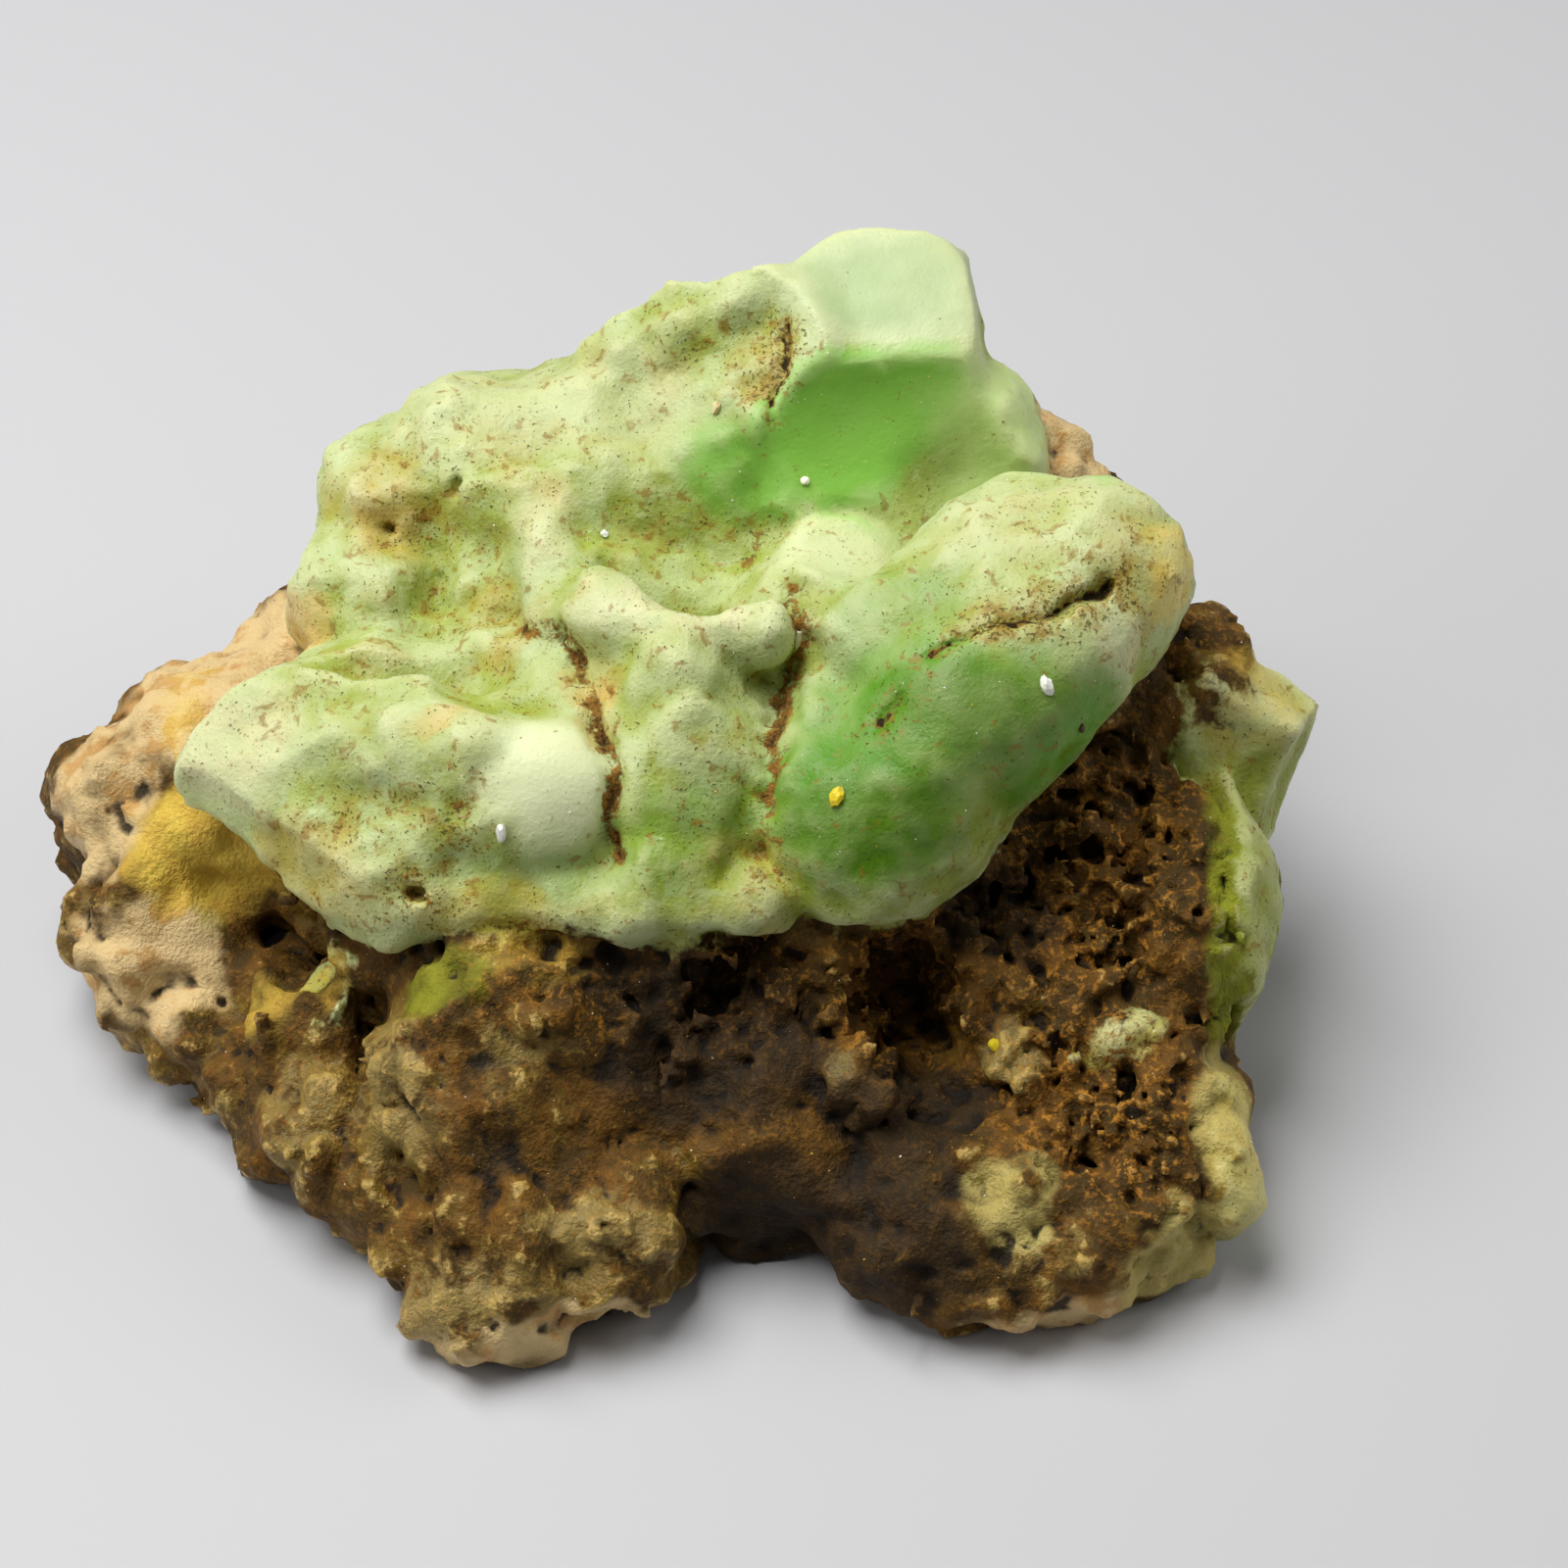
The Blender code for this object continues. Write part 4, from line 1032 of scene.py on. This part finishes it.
def makeStone():
    material = stoneFinish()
    stone = newPiece("stone")
    addTree(stone, growTree(material), stoneSizes)
    grown = baked(stone)
    print("stone grown:", len(grown.polygons), "faces")
    triangles = sum(len(face.vertices) - 2 for face in grown.polygons)
    thin = stone.modifiers.new("thin", "DECIMATE")
    thin.ratio = min(1.0, mostTriangles / triangles)
    addTree(stone, maskTree(material), {})
    finished = baked(stone)
    finished.shade_smooth()
    print("stone thinned:", len(finished.polygons), "faces")
    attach(stone, "root")
    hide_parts(stoneNode)
    return stone


gritSizes = {"Density": 0.5, "Smallest": 0.03, "Largest": 0.10, "Seed": 4.0}  # a mm2, mm
gritUpward = 0.1  # how far a face has to look up to carry grit
grainSeed = 11
looseGrains = [  # near which point in mm, size in mm, stretch, tone 0 to 1
    ((-6.4, -7.8, 15.6), 0.30, 1.5, 1.0),
    ((13.9, -5.0, 20.2), 0.30, 1.4, 1.0),
    ((4.8, -0.9, 18.6), 0.26, 2.2, 0.9),
    ((6.1, -8.0, 17.3), 0.32, 1.2, 0.5),
    ((12.4, -11.6, 7.6), 0.26, 1.0, 0.5),
    ((1.5, 8.8, 22.3), 0.22, 1.2, 0.75),
    ((4.8, 6.9, 20.0), 0.18, 1.0, 0.95),
    ((-3.0, 5.0, 19.0), 0.16, 1.0, 1.0),
    ((16.2, -5.6, 17.8), 0.16, 1.3, 0.0),
]


def gritFinish():
    finish, tree = newFinish("gritFinish")
    tone = mask(tree, "tone")
    stops = [
        (0.0, paint(70, 50, 20)),
        (0.3, paint(156, 110, 44)),
        (0.5, paint(226, 200, 30)),
        (0.56, paint(214, 178, 112)),
        (0.8, paint(226, 212, 160)),
        (1.0, paint(244, 244, 232)),
    ]
    colour = tone.node("ShaderNodeValToRGB", {"stops": stops}, {0: tone}, "Color")
    show(tree, tone.node("ShaderNodeBsdfPrincipled", {}, {"Base Color": colour, "Roughness": 0.4}))
    return finish


def gritTree(material):
    tree, sizes = groupTree("scatterGrit", gritSizes)
    surface = sizes["Geometry"]
    upward = source(tree, "GeometryNodeInputNormal", "Normal").measure("DOT_PRODUCT", (0.0, 0.0, 1.0))
    settings = {"operation": "GREATER_THAN"}
    facing = upward.node("FunctionNodeCompare", settings, {0: upward, 1: gritUpward})
    density = sizes["Density"] / (mm * mm)
    inputs = {"Mesh": surface, "Selection": facing, "Density": density, "Seed": sizes["Seed"]}
    points = surface.node("GeometryNodeDistributePointsOnFaces", {}, inputs, "Points")
    crystal = surface.node("GeometryNodeMeshIcoSphere", {}, {"Radius": 0.5, "Subdivisions": 1}, "Mesh")

    # each grain's own size, turn, shape and tone
    vector = {"data_type": "FLOAT_VECTOR"}
    spread = surface.node("FunctionNodeRandomValue", {}, {2: 0.0, 3: 1.0, "Seed": 5}, 1)
    size = spread * spread * spread * (sizes["Largest"] - sizes["Smallest"]) + sizes["Smallest"]
    turn = surface.node("FunctionNodeRandomValue", vector, {1: (6.3, 6.3, 6.3), "Seed": 6}, 0)
    inputs = {0: (0.6, 0.6, 0.6), 1: (1.5, 1.2, 1.0), "Seed": 7}
    stretch = surface.node("FunctionNodeRandomValue", vector, inputs, 0)
    inputs = {"Points": points, "Instance": crystal, "Rotation": turn, "Scale": stretch.scaled(size * mm)}
    grains = surface.node("GeometryNodeInstanceOnPoints", {}, inputs, "Instances")
    tone = surface.node("FunctionNodeRandomValue", {}, {2: 0.0, 3: 1.0, "Seed": 8}, 1)
    inputs = {"Geometry": grains, "Name": "tone", "Value": tone}
    toned = surface.node("GeometryNodeStoreNamedAttribute", {"domain": "INSTANCE"}, inputs)
    finishTree(tree, toned, material)
    return tree


def makeGrit(stone):
    material = gritFinish()
    grit = newPiece("grit")
    grit.data = stone.data.copy()
    grit.data.materials.clear()
    addTree(grit, gritTree(material), gritSizes)
    print("grit scattered:", len(baked(grit).polygons), "faces")

    # a few larger grains that the photo shows
    rng = random.Random(grainSeed)
    corners = [corner.co for corner in stone.data.vertices]
    surface = BVHTree.FromPolygons(corners, [tuple(face.vertices) for face in stone.data.polygons])
    work = bmesh.new()
    layer = work.verts.layers.float.new("tone")
    for near, size, stretch, tone in looseGrains:
        target = (Vector(near) + Vector(standingShift)) * mm
        spot, outward = surface.find_nearest(target)[:2]
        made = bmesh.ops.create_icosphere(work, subdivisions=2, radius=size * mm)
        turn = outward.to_track_quat("Z", "X").to_matrix()
        for corner in made["verts"]:
            corner[layer] = tone
            rough = 1 + rng.uniform(-0.18, 0.18)
            local = Vector((corner.co.x * stretch, corner.co.y / stretch, corner.co.z * 0.7)) * rough
            corner.co = spot + turn @ local + outward * size * 0.25 * mm
    grains = newPiece("looseGrains")
    work.to_mesh(grains.data)
    work.free()
    grains.data.materials.append(material)
    for piece in (grit, grains):
        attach(piece, "root")
    print("loose grains placed:", len(looseGrains))


floorLook = {"size": 3.0, "colour": (0.50, 0.50, 0.51, 1.0), "roughness": 0.6}  # metres


def makeFloor():
    bpy.ops.mesh.primitive_plane_add(size=floorLook["size"])
    floor = bpy.context.object
    floor.name = "floor"
    finish = bpy.data.materials.new("floorFinish")
    finish.use_nodes = True
    shader = finish.node_tree.nodes["Principled BSDF"]
    shader.inputs["Base Color"].default_value = floorLook["colour"]
    shader.inputs["Roughness"].default_value = floorLook["roughness"]
    floor.data.materials.append(finish)
    print("floor laid")


studioLights = [  # name, place in mm, size in mm, watts
    ("overhead", (-90.0, 45.0, 275.0), 200.0, 1.10),
    ("left", (-220.0, -60.0, 120.0), 160.0, 0.14),
    ("right", (220.0, 40.0, 150.0), 160.0, 0.20),
]
lightsAim = (0.0, 0.0, 10.0)  # mm
roomColour = (1.0, 0.99, 0.97, 1.0)
roomStrength = 0.08


def makeLights():
    for name, place, size, watts in studioLights:
        lamp = bpy.data.lights.new(name, "AREA")
        lamp.size = size * mm
        lamp.energy = watts
        holder = bpy.data.objects.new(name, lamp)
        holder.location = Vector(place) * mm
        beam = Vector(lightsAim) * mm - holder.location
        holder.rotation_euler = beam.to_track_quat("-Z", "Y").to_euler()
        bpy.context.scene.collection.objects.link(holder)
    world = bpy.data.worlds.new("studio")
    world.use_nodes = True
    background = world.node_tree.nodes["Background"]
    background.inputs["Color"].default_value = roomColour
    background.inputs["Strength"].default_value = roomStrength
    bpy.context.scene.world = world
    bpy.context.scene.view_settings.view_transform = "Standard"
    print("lights set:", len(studioLights))


viewpoint = {  # millimetres and degrees
    "aim": (4.7, -0.5, 12.0),
    "elevation": 45.0,
    "distance": 130.0,
    "width": 31.0,  # what the picture takes in at the aim
    "sensor": 36.0,
}


def makeCamera():
    data = bpy.data.cameras.new("camera")
    data.sensor_width = viewpoint["sensor"]
    data.lens = viewpoint["sensor"] / 2 / (viewpoint["width"] / viewpoint["distance"])
    data.clip_start = 1 * mm
    camera = bpy.data.objects.new("camera", data)
    up = math.radians(viewpoint["elevation"])
    back = Vector((0.0, -math.cos(up), math.sin(up)))
    camera.location = (Vector(viewpoint["aim"]) + back * viewpoint["distance"]) * mm
    camera.rotation_euler = (-back).to_track_quat("-Z", "Y").to_euler()
    bpy.context.scene.collection.objects.link(camera)
    bpy.context.scene.camera = camera
    print("camera set")


stone = makeStone()
makeGrit(stone)
makeFloor()
makeLights()
makeCamera()
